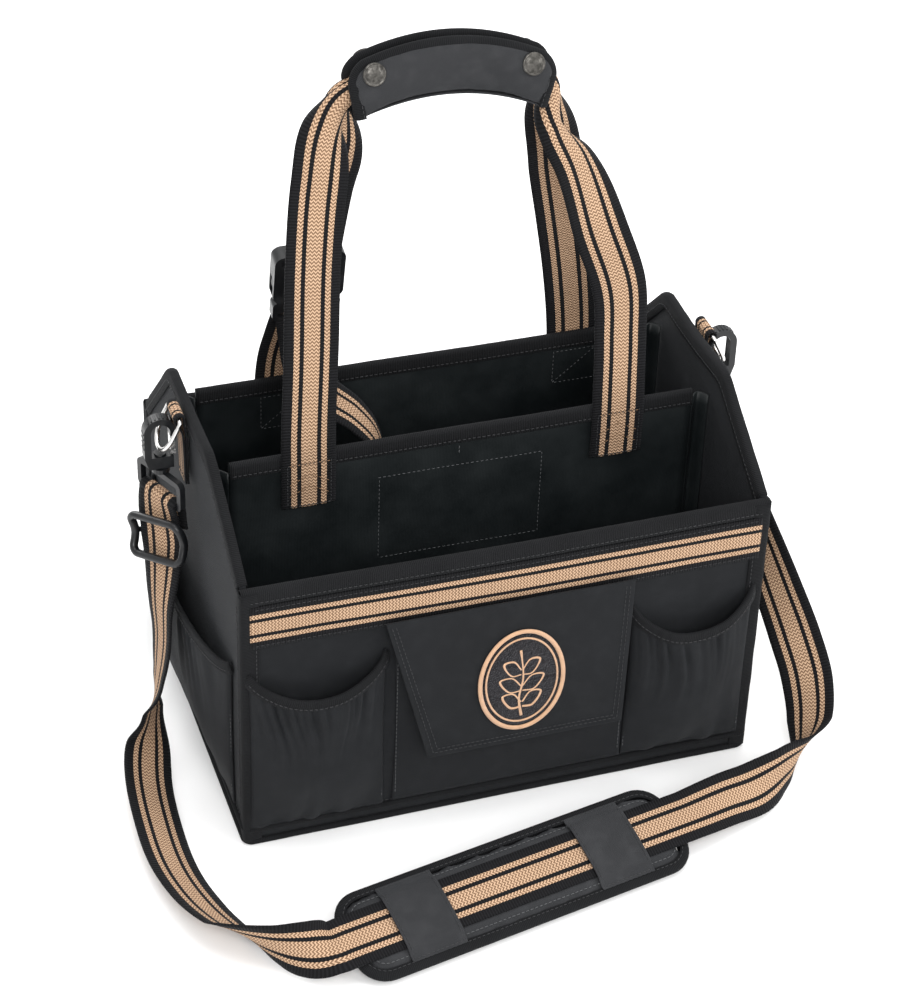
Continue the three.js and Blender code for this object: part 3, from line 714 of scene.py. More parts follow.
def strap_stops():
    left = [(-214.5, 0, 188, 0.97, 0.2, 0), (-213, 4, 202, 0.97, 0.2, 0), *roll_over(-EYE_X)]
    left += [
        (-220, 3, 200, -0.97, -0.15, 0), (-221.5, -2, 180, -0.97, -0.2, 0),
        (-223, -8, 158, -0.97, -0.22, 0),
    ]
    left = [towards_front(stop) for stop in left]
    down = [
        (-224, -17, 132, -0.95, -0.25, -0.1),
        (-226, -26, 106, -0.88, -0.22, -0.4), (-231, -34, 80, -0.75, -0.15, -0.6),
        (-238, -42, 54, -0.62, -0.05, -0.78), (-245, -54, 32, -0.54, -0.05, -0.84),
        (-251, -78, 20, -0.5, -0.05, -0.87), (-254, -120, 13, -0.47, -0.05, -0.88),
        (-253, -165, 11, -0.45, -0.06, -0.89), (-245, -204, 12, -0.45, -0.14, -0.88),
        (-233, -234, 14, -0.5, -0.25, -0.8), (-222, -254, 18.5, -0.62, -0.56, -0.5),
        (-206, -271, 21.5, -0.6, -0.76, -0.1), (-187, -281, 22, -0.3, -0.8, 0.45),
    ]
    over = []
    for s in (-146, -134, -100, -50, 0, 50, 100, 134, 146):
        over.append((*on_pad(s, 0, STRAP_OVER_PAD), *PAD_NORMAL))
    rising = [
        (150, -219, 20, 0.1, -0.5, 0.85), (178, -212, 18.5, 0.36, -0.66, 0.66),
        (202, -202, 20.8, 0.6, -0.76, 0.2), (225, -187, 23, 0.9, -0.3, -0.2),
        (239, -167, 33, 0.78, 0.3, -0.5), (244, -145, 55, 0.6, 0.55, -0.55),
        (241, -122, 80, 0.6, 0.6, -0.5), (234, -94, 112, 0.75, 0.5, -0.4),
        (226, -56, 152, 0.9, 0.3, -0.2), (220, -16, 190, 0.98, 0.1, -0.1),
    ]
    right = [(213.2, 3, 198, -0.98, -0.1, 0), (214.5, -6, 176, -0.98, -0.1, 0)]
    return left + down + over + rising + roll_over(EYE_X) + right


SLIDER_AT = mm(-218.15, -3.4, 182)
SLIDER_DOWN = Vector((-0.01, -0.253, -0.967)).normalized()
SLIDER_OUT = Vector((-0.835, -0.54, 0.14))
SLIDER_HALF_LONG, SLIDER_HALF_WIDE, SLIDER_CORNER = 24.2, 15.2, 6.5
SLIDER_LIFT, SLIDER_BEND = 6.7, 4.4


def build_slider():
    """A bent three-bar adjuster: its sides bow back to carry the middle bar."""
    out = (SLIDER_OUT - SLIDER_DOWN * SLIDER_OUT.dot(SLIDER_DOWN)).normalized()
    side = SLIDER_DOWN.cross(out)

    def at(across, along, lift):
        return SLIDER_AT + (side * across + SLIDER_DOWN * along + out * lift) * MM

    ring = []
    for p in rounded_rectangle(SLIDER_HALF_LONG, SLIDER_HALF_WIDE, SLIDER_CORNER, 8, 2.3):
        bend = math.cos(math.pi / 2 * min(abs(p.y) / SLIDER_HALF_WIDE, 1)) ** 1.5
        ring.append(at(p.x, p.y, SLIDER_LIFT - SLIDER_BEND * bend))
    rim = tube("strap_slider_frame", ring, 2.9 * MM, PLASTIC, 16, True, 1.15, out)
    put(rim, "slider", "plastic", "strap_slider")
    middle = [at(-24 + 48 * k / 8, 0, -3.6 + 2.6 * abs(k / 4 - 1) ** 6) for k in range(9)]
    bar = tube("strap_slider_bar", middle, 2.1 * MM, PLASTIC, 14, False, 0.52, out)
    put(bar, "slider", "plastic")
    return [rim, bar]


def build_strap(slider):
    obj, path = ribbon("shoulder_strap", strap_stops(), 420, STRAP_WIDTH, 1.6, 12, cup=0.2)
    put(obj, "bag", "webbing", "strap_webbing")


build_strap(build_slider())

# Bag body: each panel follows a slightly bowed skin

HALF_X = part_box("front_wall")[1][0] / MM
HALF_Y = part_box("back_wall")[1][1] / MM
FRONT_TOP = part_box("front_rim_binding")[1][2] / MM
BACK_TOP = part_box("back_rim_binding")[1][2] / MM
END_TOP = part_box("left_rim_binding")[1][2] / MM
PARTITION_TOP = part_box("front_partition_binding")[1][2] / MM
WALL = 5.0
END_FLAT_FRONT, END_FLAT_BACK = -55.0, 58.5
TAPE_HEIGHT = 12.0
FLOOR_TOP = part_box("base_board")[1][2] / MM
SIDES = {"front": 0.0, "left": -90.0, "right": 90.0, "back": 180.0}
PANEL_FOOT = 4.3
FRONT_LEAN = 5.2


def faces_along_x(side):
    return side in ("front", "back")


def half_width(side):
    return HALF_X if faces_along_x(side) else HALF_Y


def bow(side, across, z):
    """How far a wall's outer skin stands out from flat, in mm."""
    wide = half_width(side)
    swell = math.cos(math.pi * max(min(across / wide, 1), -1) / 2)
    swell *= math.sin(math.pi * min(max(z, 0), 230) / 235)
    wave = wander(across * 0.011, z * 0.013, 5.0 + len(side))
    amount = {"front": 0.5, "back": -2.2, "left": 0.6, "right": 0.6}[side]
    return amount * swell + 0.7 * wave * min(1.0, (wide - abs(across)) / 40)


def on_side(side, across, out, z):
    """A point seen from outside a wall: across to its right, out from its face."""
    turn = math.radians(SIDES[side])
    reach = HALF_Y if faces_along_x(side) else HALF_X
    x, y = across, -(reach + out)
    return mm(x * math.cos(turn) - y * math.sin(turn), x * math.sin(turn) + y * math.cos(turn), z)


def outward(side):
    return (on_side(side, 0, 10, 0) - on_side(side, 0, 0, 0)).normalized()


def top_of_end(y):
    """Height of an end wall's top edge, with its corners eased."""
    inner = HALF_Y - WALL - 1.8

    def straight(at):
        if at < END_FLAT_FRONT:
            share = (at + inner) / (END_FLAT_FRONT + inner)
            return FRONT_TOP + 2 + (END_TOP - FRONT_TOP - 2) * share
        if at > END_FLAT_BACK:
            share = (inner - at) / (inner - END_FLAT_BACK)
            return BACK_TOP + 3 + (END_TOP - BACK_TOP - 3) * share
        return END_TOP - 2.2 * math.sin(math.pi * (at - END_FLAT_FRONT) / (END_FLAT_BACK - END_FLAT_FRONT))
    ease = 7.0
    return sum(straight(at) for at in (y - ease, y - ease / 2, y, y + ease / 2, y + ease)) / 5


def wall_top(side, across):
    if side == "front":
        return FRONT_TOP - 1.2 * math.cos(math.pi * across / (2 * HALF_X)) ** 2
    if side == "back":
        return BACK_TOP - 5.0 * math.cos(math.pi * across / (2 * HALF_X)) ** 2
    return top_of_end(across if side == "right" else -across)


def build_walls():
    walls = ("front", "back", "left", "right")
    for side in walls:
        wide = HALF_X - 0.4 if faces_along_x(side) else HALF_Y - WALL - 1.4

        def skin(u, v):
            across = wide * (2 * u - 1)
            z = PANEL_FOOT + (wall_top(side, across) - 1.4 - PANEL_FOOT) * v
            return on_side(side, across, bow(side, across, z) - WALL / 2, z)
        node = f"{side}_wall" if faces_along_x(side) else f"{side}_end_wall"
        put(sheet(f"{side}_panel", grid(skin, 32, 60), FABRIC, 4.4 * MM), "bag", "fabric", node)
    for number, side in enumerate(walls):
        wide = HALF_X + 0.6 if faces_along_x(side) else HALF_Y - WALL - 1.6
        line = []
        for j in range(141):
            across = wide * (2 * j / 140 - 1)
            z = wall_top(side, across)
            line.append(on_side(side, across, bow(side, across, z) - WALL / 2, z))
        out = outward(side)
        tape = edge_tape(f"{side}_rim_tape", line, out, TAPE_HEIGHT, WALL / 2 + 0.7, number * 3.0)
        put(tape, "bag", "binding", f"{side}_rim_binding")
        sew_both_faces(line, out, WALL / 2 + 1.25, TAPE_HEIGHT - 2.6)


def sew_both_faces(line, out, half, down):
    """A seam on each face of a folded tape: half its thickness out, and down from its top."""
    for face in (1, -1):
        seam = [p + out * (face * half * MM) - Vector((0, 0, down * MM)) for p in line]
        stitches.line("bag", DARK_THREAD, seam, out * face)


# The corner tape's section: in from the corner along x, and out from it along y, in mm.
CORNER_FOLD = ((11.5, 0.3), (11.2, 0.9), (7, 1.15), (3.5, 1.35), (1.2, 1.5), (-0.6, 0.7),
               (-1.5, -1.2), (-1.35, -3.5), (-1.15, -7), (-0.9, -11.2), (-0.3, -11.5))
CORNER_SEAM = 9.4


def build_corners():
    """Tapes folded round the four upright corners."""
    for sx, end in ((-1, "left"), (1, "right")):
        for sy, side in ((-1, "front"), (1, "back")):
            top = (FRONT_TOP if sy < 0 else BACK_TOP) - 1.5
            rows = []
            for i in range(50):
                z = 2.5 + (top - 2.5) * i / 49
                wobble = 0.35 * wander(z * 0.05, sx * 3.0, sy * 5.0)
                row = []
                for a, b in CORNER_FOLD:
                    x = HALF_X - (a + wobble) if b > -1 else HALF_X - a
                    y = HALF_Y + b if b > -1 else HALF_Y + b - wobble
                    row.append(mm(sx * x, sy * y, z))
                rows.append(row)
            tape = folded_tape(f"corner_tape_{end}_{side}", rows, [row[0] for row in rows], 2.3, 0.7)
            put(tape, "bag", "binding")
            heights = range(18, int(top) - 12, 3)
            face = [mm(sx * (HALF_X - CORNER_SEAM), sy * (HALF_Y + 1.5), z) for z in heights]
            stitches.line("bag", DARK_THREAD, face, Vector((0, sy, 0)))
            face = [mm(sx * (HALF_X + 1.5), sy * (HALF_Y - CORNER_SEAM), z) for z in heights]
            stitches.line("bag", DARK_THREAD, face, Vector((sx, 0, 0)))


def around_base(reach, z):
    return [mm(*p, z) for p in rounded_rectangle(HALF_X + reach, HALF_Y + reach, 6.0, 6, 9.0)]


def build_base():
    for name, reach, z, radius in (("lower_piping", 0.5, 2.3, 2.3), ("upper_piping", 1.1, 14.0, 2.0)):
        line = around_base(reach, z)
        for p in line:
            p.z += 0.25 * MM * noise.noise(p * 30)
        put(tube(name, line, radius * MM, TAPE, 10, True), "bag", "binding")
    ring = around_base(-0.6, 0)
    rings = []
    for share, z in ((0.985, 0.2), (1.0, 1.2), (1.0, 3.4), (0.985, 4.2)):
        rings.append([Vector((p.x * share, p.y * share, z * MM)) for p in ring])
    put(loft("base_cloth", rings, FABRIC), "bag", "fabric", "base_panel")
    board = round_edges("base_board", BOARD, 1.2)
    board.data.polygons.foreach_set("use_smooth", [False] * len(board.data.polygons))
    for side in SIDES:
        wide = half_width(side) - 14
        line = [on_side(side, -wide + 2 * wide * k / 80, 0.7, 17.6) for k in range(81)]
        stitches.line("bag", DARK_THREAD, line, outward(side))


PARTITIONS = {"front_partition": -38.4, "rear_partition": 58.5}
PARTITION_WIDE = 175.4


def partition_bow(name, x, z):
    lean = wander(x * 0.012, z * 0.014, 11.0 if name[0] == "f" else 17.0)
    return 0.9 * lean + 0.5 * math.sin(math.pi * z / 262) * math.cos(math.pi * x / 351)


def build_partitions():
    out = Vector((0, -1, 0))
    for number, (name, y0) in enumerate(PARTITIONS.items()):
        def skin(u, v):
            x = PARTITION_WIDE * (2 * u - 1)
            z = FLOOR_TOP + 0.4 + (PARTITION_TOP - 1.5 - FLOOR_TOP) * v
            return mm(x, y0 + partition_bow(name, x, z), z)
        put(sheet(f"{name}_panel", grid(skin, 30, 58), LINING, 3.6 * MM), "bag", "lining", name)
        line = []
        for j in range(121):
            x = PARTITION_WIDE * (2 * j / 120 - 1)
            line.append(mm(x, y0 + partition_bow(name, x, PARTITION_TOP), PARTITION_TOP))
        tape = edge_tape(f"{name}_tape", line, out, TAPE_HEIGHT, 2.6, 20.0 + number)
        put(tape, "bag", "binding", f"{name}_binding")
        sew_both_faces(line, out, 3.15, 9.6)
        for side, end in ((-1, "left"), (1, "right")):
            build_gusset(name, y0, side, end)


def build_gusset(name, y0, side, end):
    """A soft pleat that lets the end wall move away from the partition."""
    def skin(u, v):
        z = FLOOR_TOP + 0.5 + 246.5 * v
        across = math.sin(math.pi * u)
        sag = 0.9 * wander(z * 0.02, side * 4.0, y0)
        fold = 8.4 * across ** 1.5 * (0.75 + 0.25 * math.sin(math.pi * z / 262))
        return mm(side * (PARTITION_WIDE + 0.4 + 13.6 * u), y0 - 0.3 + fold + sag * across, z)
    pleat = sheet(f"{name}_{end}_pleat", grid(skin, 25, 12), LINING, 1.2 * MM)
    put(pleat, "bag", "lining", f"{name}_{end}_gusset")


def stitched_path(corners, on_face, body, thread, out, **more):
    """Stitches from corner to corner of a line drawn on a face, with a point every 3 mm."""
    line = []
    for (a0, b0), (a1, b1) in zip(corners, corners[1:]):
        count = max(2, int(math.hypot(a1 - a0, b1 - b0) / 3.0))
        line += [on_face(a0 + (a1 - a0) * k / count, b0 + (b1 - b0) * k / count) for k in range(count)]
    line.append(on_face(*corners[-1]))
    stitches.line(body, thread, line, out, **more)


def build_partition_stitching():
    out = Vector((0, -1, 0))

    def face_of(name):
        return lambda x, z: mm(x, PARTITIONS[name] + partition_bow(name, x, z) - 1.95, z)
    front, behind = face_of("front_partition"), face_of("rear_partition")
    box = [(-65, 157), (59, 157), (59, 230), (-65, 230), (-65, 157)]
    stitched_path(box, front, "bag", GREY_THREAD, out, length=2.2, gap=1.5, radius=0.24)
    stitched_path([(-5, 239), (-5, 248)], front, "bag", GREY_THREAD, out, radius=0.3)
    for x in (-110, 119):
        left, right = x - 17, x + 17
        crossed = [(left, 219), (right, 219), (right, 247), (left, 247), (left, 219), (right, 247)]
        stitched_path(crossed, behind, "bag", GREY_THREAD, out, length=2.0, gap=1.6, radius=0.26)


# Pockets

# Node, wall, middle, width, foot, mouth, dip of the mouth, bulge, number of folds and their depth.
POCKETS = [
    ("front_left_pocket", "front", -141.7, 99, 16, 162, 24, 18.5, 7, 3.2),
    ("front_right_pocket", "front", 141, 94, 18, 162, 28, 18.5, 6, 3.4),
    ("front_center_pocket", "front", 4, 178, 17, 162, 4, 6, 3, 0.5),
    ("left_side_pocket", "left", 0, 236, 16, 150, 20, 19, 9, 2.8),
    ("right_side_pocket", "right", 0, 236, 16, 150, 20, 19, 9, 2.8),
    ("back_pocket", "back", 0, 300, 16, 150, 14, 18.5, 9, 2.4),
]


def build_pockets():
    for number, (node, side, middle, width, low, high, dip, bulge, folds, depth) in enumerate(POCKETS):
        phase = number * 1.9

        def skin(u, v):
            hump = max(math.sin(math.pi * u), 0) ** 0.62
            swell = math.sin(math.pi / 2 * min(v / 0.5, 1)) * (1 - 0.18 * v)
            top = high - dip * hump
            pull = 0.45 + 0.55 * abs(2 * v - 1) ** 2.2
            slip = 0.10 * wander(v * 2.2, number * 3.0, u * 2.0)
            gathers = smoothstep(v, 0.35, 0.86) * (1 - 0.8 * smoothstep(v, 0.9, 1.0))
            crease = (1.5 - v) * wander((u + slip) * folds * 1.1, v * 1.4 + number * 5, phase)
            crease += 2.6 * gathers * wander((u + slip) * folds * 3.4, v * 0.9, phase + 9)
            lumps = wander(u * 3.1 + number * 7, v * 2.7, phase)
            out = 1.1 + bulge * hump * swell * (1 + 0.16 * lumps)
            out += depth * crease * pull * min(1.0, hump) * (1 - 0.75 * smoothstep(v, 0.88, 1.0))
            z = low + (top - low) * v
            across = middle + (u - 0.5) * width * (1 - 0.02 * math.sin(math.pi * v))
            return on_side(side, across, max(out, 1.0), z)
        put(sheet(f"{node}_cloth", grid(skin, 44, 72), FABRIC, 1.3 * MM), "bag", "fabric", node)
        line = [skin(0.004 + 0.992 * j / 110, 1.0) + mm(0, 0, 0.6) for j in range(111)]
        outs = []
        for j in range(len(line)):
            tangent = frame_at(line, j, False)
            flat = Vector((tangent.y, -tangent.x, 0))
            outs.append(flat.normalized() if flat.dot(outward(side)) > 0 else -flat.normalized())
        tape = edge_tape(f"{node}_elastic", line, outs, 8.5, 1.3, 40.0 + number)
        put(tape, "bag", "binding")
        if node != "front_center_pocket":
            seam = [p + o * (1.9 * MM) - mm(0, 0, 6.6) for p, o in zip(line, outs)]
            stitches.line("bag", DARK_THREAD, seam, outs)
        for u in (0.012, 0.988):
            across = middle + (u - 0.5) * width
            upright = [on_side(side, across, 2.1, z) for z in range(low + 6, high - 8, 3)]
            stitches.line("bag", GREY_THREAD, upright, outward(side), radius=0.26)


# Front band, flap and badge


def front_face(x, out, z):
    return on_side("front", x, bow("front", x, z) + out, z)


BAND_LOW, BAND_HIGH = 183.0, 219.2
BAND_WIDE = 380.0


def build_front_band():
    high = BAND_HIGH - BAND_LOW

    def skin(u, v):
        x = BAND_WIDE * (v - 0.5)
        z = BAND_LOW + high * u + wall_top("front", x) - FRONT_TOP
        return front_face(x, 1.2 + 0.25 * wander(x * 0.04, z * 0.1, 2.0), z)
    uvs = [(k / 8, j * BAND_WIDE / 140 / high) for j in range(141) for k in range(9)]
    band = sheet("front_band_webbing", grid(skin, 140, 8), WEBBING, 1.5 * MM, uvs)
    put(band, "bag", "webbing", "front_band")
    for z in (BAND_LOW + 2.3, BAND_HIGH - 2.3):
        line = []
        for k in range(121):
            x = -188 + 376 * k / 120
            line.append(front_face(x, 2.1, z + wall_top("front", x) - FRONT_TOP))
        stitches.line("bag", DARK_THREAD, line, Vector((0, -1, 0)), radius=0.25)


FLAP_Y = -HALF_Y - 0.3 - 5.5
FLAP_Z = 189.4


def on_flap(x, out, z):
    """A point on the hanging flap: z is measured down from its hinge line."""
    lean = math.radians(-FRONT_LEAN)
    y = -out - 1.1 * math.sin(math.pi * min(-z / 123, 1)) - 0.7 * wander(x * 0.02, z * 0.02, 4.0)
    return mm(x, FLAP_Y + y * math.cos(lean) - z * math.sin(lean),
              FLAP_Z + y * math.sin(lean) + z * math.cos(lean))


def flap_out():
    return (on_flap(0, 10, -60) - on_flap(0, 0, -60)).normalized()


def flap_edges(share):
    left = -64 - 30 * (1 - share)
    right = 85 + 7 * (1 - share)
    return left, right


def build_flap():
    def skin(u, v):
        left, right = flap_edges(v)
        return on_flap(left + (right - left) * u, 1.0, -1 - 122 * v)
    flap = sheet("flap_cloth", grid(skin, 28, 48), FABRIC, 2.0 * MM)
    rim = flap.modifiers.new("turned_edge", "BEVEL")
    rim.width = 0.7 * MM
    rim.segments = 2
    rim.limit_method = "ANGLE"
    put(flap, "flap", "fabric", "front_flap")
    for inset in (4.0, 7.0):
        sides = [(flap_edges(k / 40), -4 - (119 - inset) * k / 40) for k in range(41)]
        left, right = flap_edges(1)
        line = [on_flap(edges[0] + inset, 2.2, z) for edges, z in sides]
        line += [on_flap(left + inset + (right - left - 2 * inset) * k / 60, 2.2, inset - 123)
                 for k in range(1, 61)]
        line += [on_flap(edges[1] - inset, 2.2, z) for edges, z in reversed(sides)]
        stitches.line("flap", DARK_THREAD, line, flap_out(), radius=0.26)


BADGE_X, BADGE_Z = 6.0, -68.0
BADGE_WIDE, BADGE_HIGH = 31.5, 41.5


def on_badge(grow, angle, out):
    return on_flap(BADGE_X + BADGE_WIDE * grow * math.cos(angle), out,
                   BADGE_Z + BADGE_HIGH * grow * math.sin(angle))


def badge_line(name, points, radius):
    """A raised embroidered line through flap points."""
    line = smooth_curve([on_flap(x, 3.1, z) for x, z in points], 40)
    put(tube(name, line, radius * MM, SATIN, 10, False, 0.55, flap_out()), "flap", "emblem")


def build_badge():
    def pile(u, v):
        return on_badge(0.97 * v, 2 * math.pi * u, 2.1 + 1.2 * (1 - v ** 4))
    put(sheet("badge_pile", grid(pile, 14, 60), PILE, 0.6 * MM), "flap", "emblem", "flap_emblem")
    for name, grow, radius in (("badge_rim", 1.0, 1.75), ("badge_inner_rim", 0.86, 0.8)):
        line = [on_badge(grow, 2 * math.pi * k / 96, 3.3) for k in range(96)]
        put(tube(name, line, radius * MM, SATIN, 10, True, 0.6, flap_out()), "flap", "emblem")
    badge_line("badge_stem", [(6, -99), (4, -84), (7, -66), (5, -42)], 1.2)
    for number, (z, reach) in enumerate(((-88, 14), (-74, 16), (-60, 13))):
        for side, which in ((-1, "a"), (1, "b")):
            x = BADGE_X + side * 0.5
            leaf = [(x, z - 3), (x + side * reach * 0.55, z - 3), (x + side * reach, z + 8),
                    (x + side * reach * 0.45, z + 9), (x, z + 1)]
            badge_line(f"badge_leaf_{number}_{which}", leaf, 1.1)


# Carrying handles


def hidden_fold(entry, leave, ease, ease_out):
    """Flat on the legs, rolled lengthwise where the webbing enters the grip."""
    def at(share):
        fold = smoothstep(share, entry - ease, entry) - smoothstep(share, leave, leave + ease_out)
        flatten = smoothstep(share, entry - 0.02, entry + 0.04)
        flatten -= smoothstep(share, leave - 0.04, leave + 0.02)
        return 0.004 + 0.132 * fold, 1.0 - 0.74 * flatten
    return at


GRIP_Y = 10.0
GRIP_LEFT, GRIP_MIDDLE, GRIP_RIGHT = Vector((-77, 518)), Vector((-4, 531)), Vector((68, 508))
GRIP_HIGH = 42.0
GRIP_CORE = 6.4
GRIP_BULGE = 7.0
GRIP_TOP_CORE = 2.6
GRIP_SPLAY = 0.45
SNAP_HIGH = 11.0
SNAP_TILT = 18.0


def grip_arc(t):
    control = GRIP_MIDDLE * 2 - (GRIP_LEFT + GRIP_RIGHT) / 2
    point = GRIP_LEFT * (1 - t) ** 2 + control * (2 * t * (1 - t)) + GRIP_RIGHT * t ** 2
    tangent = ((control - GRIP_LEFT) * (1 - t) + (GRIP_RIGHT - control) * t).normalized()
    return point, tangent


def on_grip(t, high, y):
    point, tangent = grip_arc(t)
    return mm(point.x - GRIP_SPLAY * tangent.y * high, y, point.y + tangent.x * high)


def grip_core(high):
    """Half the gap between the leaves, which close towards their top edges."""
    closing = min(max((high - 6.5) / (GRIP_HIGH / 2 - 6.5), 0), 1)
    return GRIP_CORE + (GRIP_TOP_CORE - GRIP_CORE) * closing


def rounded_end(t, high):
    """Pulls the top corners of a leaf in, so that they are round."""
    corner = 15.0
    past = max(abs(high) - (GRIP_HIGH / 2 - corner), 0) / corner
    pull = (1 - max(1 - past * past, 0) ** 0.5) * corner / 150
    return pull + (1 - 2 * pull) * t if high > 0 else t


def grip_stops(y):
    found = []
    for t in (0, 0.25, 0.5, 0.75, 1):
        point = grip_arc(t)[0]
        found.append((point.x, y, point.y - 5.5, 0, -1, 0))
    return found


def sewn_handle(name, stops, steps, *nodes, curl_at=None):
    """Handle webbing that is sewn to a partition."""
    obj = ribbon(name, stops, steps, curl_at=curl_at)[0]
    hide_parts(*nodes)
    apply_modifiers(obj)
    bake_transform(obj)


def build_handles():
    front = [
        (-118.5, -43.0, 218, 0, -1, 0), (-118.5, -43.4, 250, 0, -1, 0),
        (-118, -41.5, 277, 0, -1, -0.2), (-112, -27, 335, 0, -1, -0.2), (-107, -14, 398, 0, -1, -0.2),
        (-100, -3, 452, -0.1, -1, 0), (-91, 4, 492, 0.1, -1, 0),
        *grip_stops(GRIP_Y - 2.6),
        (75, 2, 476, 0.9, -0.5, 0), (88, -5, 448, 0.55, -0.85, 0), (103, -15, 398, 0.1, -1, -0.2),
        (118, -24, 350, 0, -1, -0.2), (118, -33, 312, 0, -1, -0.2), (116, -41.5, 277, 0, -1, -0.2),
        (116, -43.4, 250, 0, -1, 0), (116, -43.0, 218, 0, -1, 0),
    ]
    sewn_handle("front_handle", front, 300, "front_handle_webbing", "front_handle_left_end",
                "front_handle_right_end", curl_at=hidden_fold(7 / 19, 11 / 19, 0.1, 0.15))
    rear = [
        (-91, 41, 373, 0, -1, -0.2), (-90.5, 38, 384, 0, -1, -0.2), (-86, 28, 432, 0, -1, -0.2),
        (-80, 21, 470, -0.1, -1, 0),
        *grip_stops(GRIP_Y + 2.6),
        (75, 18.5, 473, 0.2, -1, 0), (84, 29, 428, 0, -1, -0.2), (96, 40, 378, 0, -1, -0.2),
        (108, 52, 326, 0, -1, -0.2), (117, 62, 277, 0, -1, -0.2),
        (119, 63.4, 250, 0, -1, 0), (119, 63.2, 218, 0, -1, 0),
    ]
    sewn_handle("rear_handle", rear, 260, "rear_handle_webbing", "rear_handle_right_end",
                curl_at=hidden_fold(4 / 15, 8 / 15, 0.1, 0.12))
    lower = [
        (-110, 63.2, 218, 0, -1, 0), (-110, 63.6, 250, 0, -1, 0), (-107.5, 63.5, 277, 0, -1, -0.2),
        (-103.5, 59.5, 298, 0, -1, -0.2), (-101, 55.5, 312, 0, -1, -0.2), (-99, 51.8, 322.5, 0, -1, -0.2),
    ]
    sewn_handle("rear_handle_lower", lower, 60, "rear_handle_lower_webbing", "rear_handle_left_end")
    tail = [
        (-97, 50.5, 318, 0.1, -1, -0.3), (-95, 50, 300, 0, -1, -0.3), (-94, 44, 281, 0.2, -1, 0.2),
        (-85, 30, 262, 0.7, -0.5, 0.6), (-65, 19, 246, 0.6, -0.3, 0.8), (-51, 13, 226, 0.9, -0.3, 0.4),
        (-47, 11, 192, 0.9, -0.4, 0), (-50, 11, 162, 0.8, -0.6, 0),
    ]
    obj = ribbon("handle_tail", tail, 110, cup=0.8)[0]
    put(obj, "handle", "webbing", "handle_strap_tail")
    for x, facing, y in ((-118.5, -1, -44.6), (116, -1, -44.6), (-110, 1, 64.6), (119, 1, 64.6)):
        sew_handle_end(x, y, Vector((0, facing, 0)))


def sew_handle_end(x, y, out):
    """A box of stitches with two chevrons, where a handle is sewn to its partition."""
    def sew(corners, thread, radius):
        stitched_path(corners, lambda a, b: mm(x + a, y, b), "bag", thread, out,
                      length=2.2, gap=0.9, radius=radius)
    sew([(-16, 220), (16, 220), (16, 256), (-16, 256), (-16, 220)], DARK_THREAD, 0.3)
    for low in (228, 238):
        sew([(-16, low), (0, low + 9), (16, low)], TAN_THREAD, 0.28)
    sew([(-16, 256), (16, 256)], TAN_THREAD, 0.3)


def grip_leaf(name, facing, body, node):
    rings = []
    steps = 48
    reach = GRIP_HIGH / 2 - 1.2
    for i in range(steps + 1):
        t = i / steps
        end = max(0.0, 1 - abs(2 * t - 1) ** 14) ** 0.5
        ring = []
        for k in range(17):
            high = reach * (2 * k / 16 - 1)
            full = max(0.0, 1 - 0.80 * (high / reach) ** 2) ** 0.5
            depth = grip_core(high) + 0.5 + (GRIP_BULGE - 1.3) * full * (0.35 + 0.65 * end)
            ring.append(on_grip(rounded_end(t, high), high, GRIP_Y + facing * depth))
        for k in range(9):
            high = reach * (1 - 2 * k / 8)
            ring.append(on_grip(rounded_end(t, high), high, GRIP_Y + facing * (grip_core(high) + 0.2)))
        rings.append(ring if facing > 0 else ring[::-1])
    obj = loft(name, rings, PADDING)
    inflate(obj, 2.6, 3.0, 1.4)
    put(obj, body, "fabric", node)


def grip_rim():
    """The two ends and the top edge of a leaf, as t and height pairs, round its top corners."""
    low, high = -GRIP_HIGH / 2 + 2, GRIP_HIGH / 2 - 0.3
    left = [(0.002, low + (high - low) * k / 30) for k in range(30)]
    right = [(0.998, h) for t, h in reversed(left)]
    top = [(0.002 + 0.996 * k / 90, high) for k in range(91)]
    return [(rounded_end(t, h), h) for t, h in left + top + right]


# Sections of two tapes: how far each point is off the cloth's face, and out past its edge, in mm.
GRIP_FOLD = ((3.3, -7.2), (3.1, -4.5), (2.6, -2.0), (1.5, -0.3), (0.0, 0.3), (-1.2, -0.2),
             (-1.9, -2.0), (-2.1, -4.5), (-2.1, -7.0))
PAD_FOLD = ((3.1, -6.5), (3.25, -4.0), (3.1, -1.5), (2.2, -0.2), (0.8, 0.5), (-0.8, 0.5),
            (-2.2, -0.2), (-3.1, -1.5), (-3.25, -4.0), (-3.1, -6.5))
SNAP_PROFILE = [(7.6, -0.6), (8.1, 0.1), (8.1, 0.8), (7.5, 1.3), (6.9, 1.15), (6.6, 0.9), (6.2, 1.2),
                (4.6, 1.95), (2.4, 2.3), (0.3, 2.4)]


def fold_at(p, out, away, section):
    return [p + out * (a * MM) + away * (b * MM) for a, b in section]


def build_grip_tape(which, facing, body):
    """The tape round a leaf's ends and top edge."""
    out = Vector((0, facing, 0))
    middle = on_grip(0.5, -GRIP_HIGH / 2, GRIP_Y)
    rows, seam = [], []
    rim = [on_grip(t, h, GRIP_Y + facing * (grip_core(h) + 2.6)) for t, h in grip_rim()]
    flat = [Vector((p.x, 0, p.z)) for p in rim]
    for i, p in enumerate(rim):
        away = out.cross(frame_at(flat, i, False)).normalized()
        if away.dot(p - middle) < 0:
            away = -away
        rows.append(fold_at(p, out, away, GRIP_FOLD))
        seam.append(p + out * (3.95 * MM) - away * (5.6 * MM))
    put(folded_tape(f"grip_{which}_tape", rows, rim, 1.8, 0.8), body, "binding")
    stitches.line(body, DARK_THREAD, seam, out, radius=0.28)


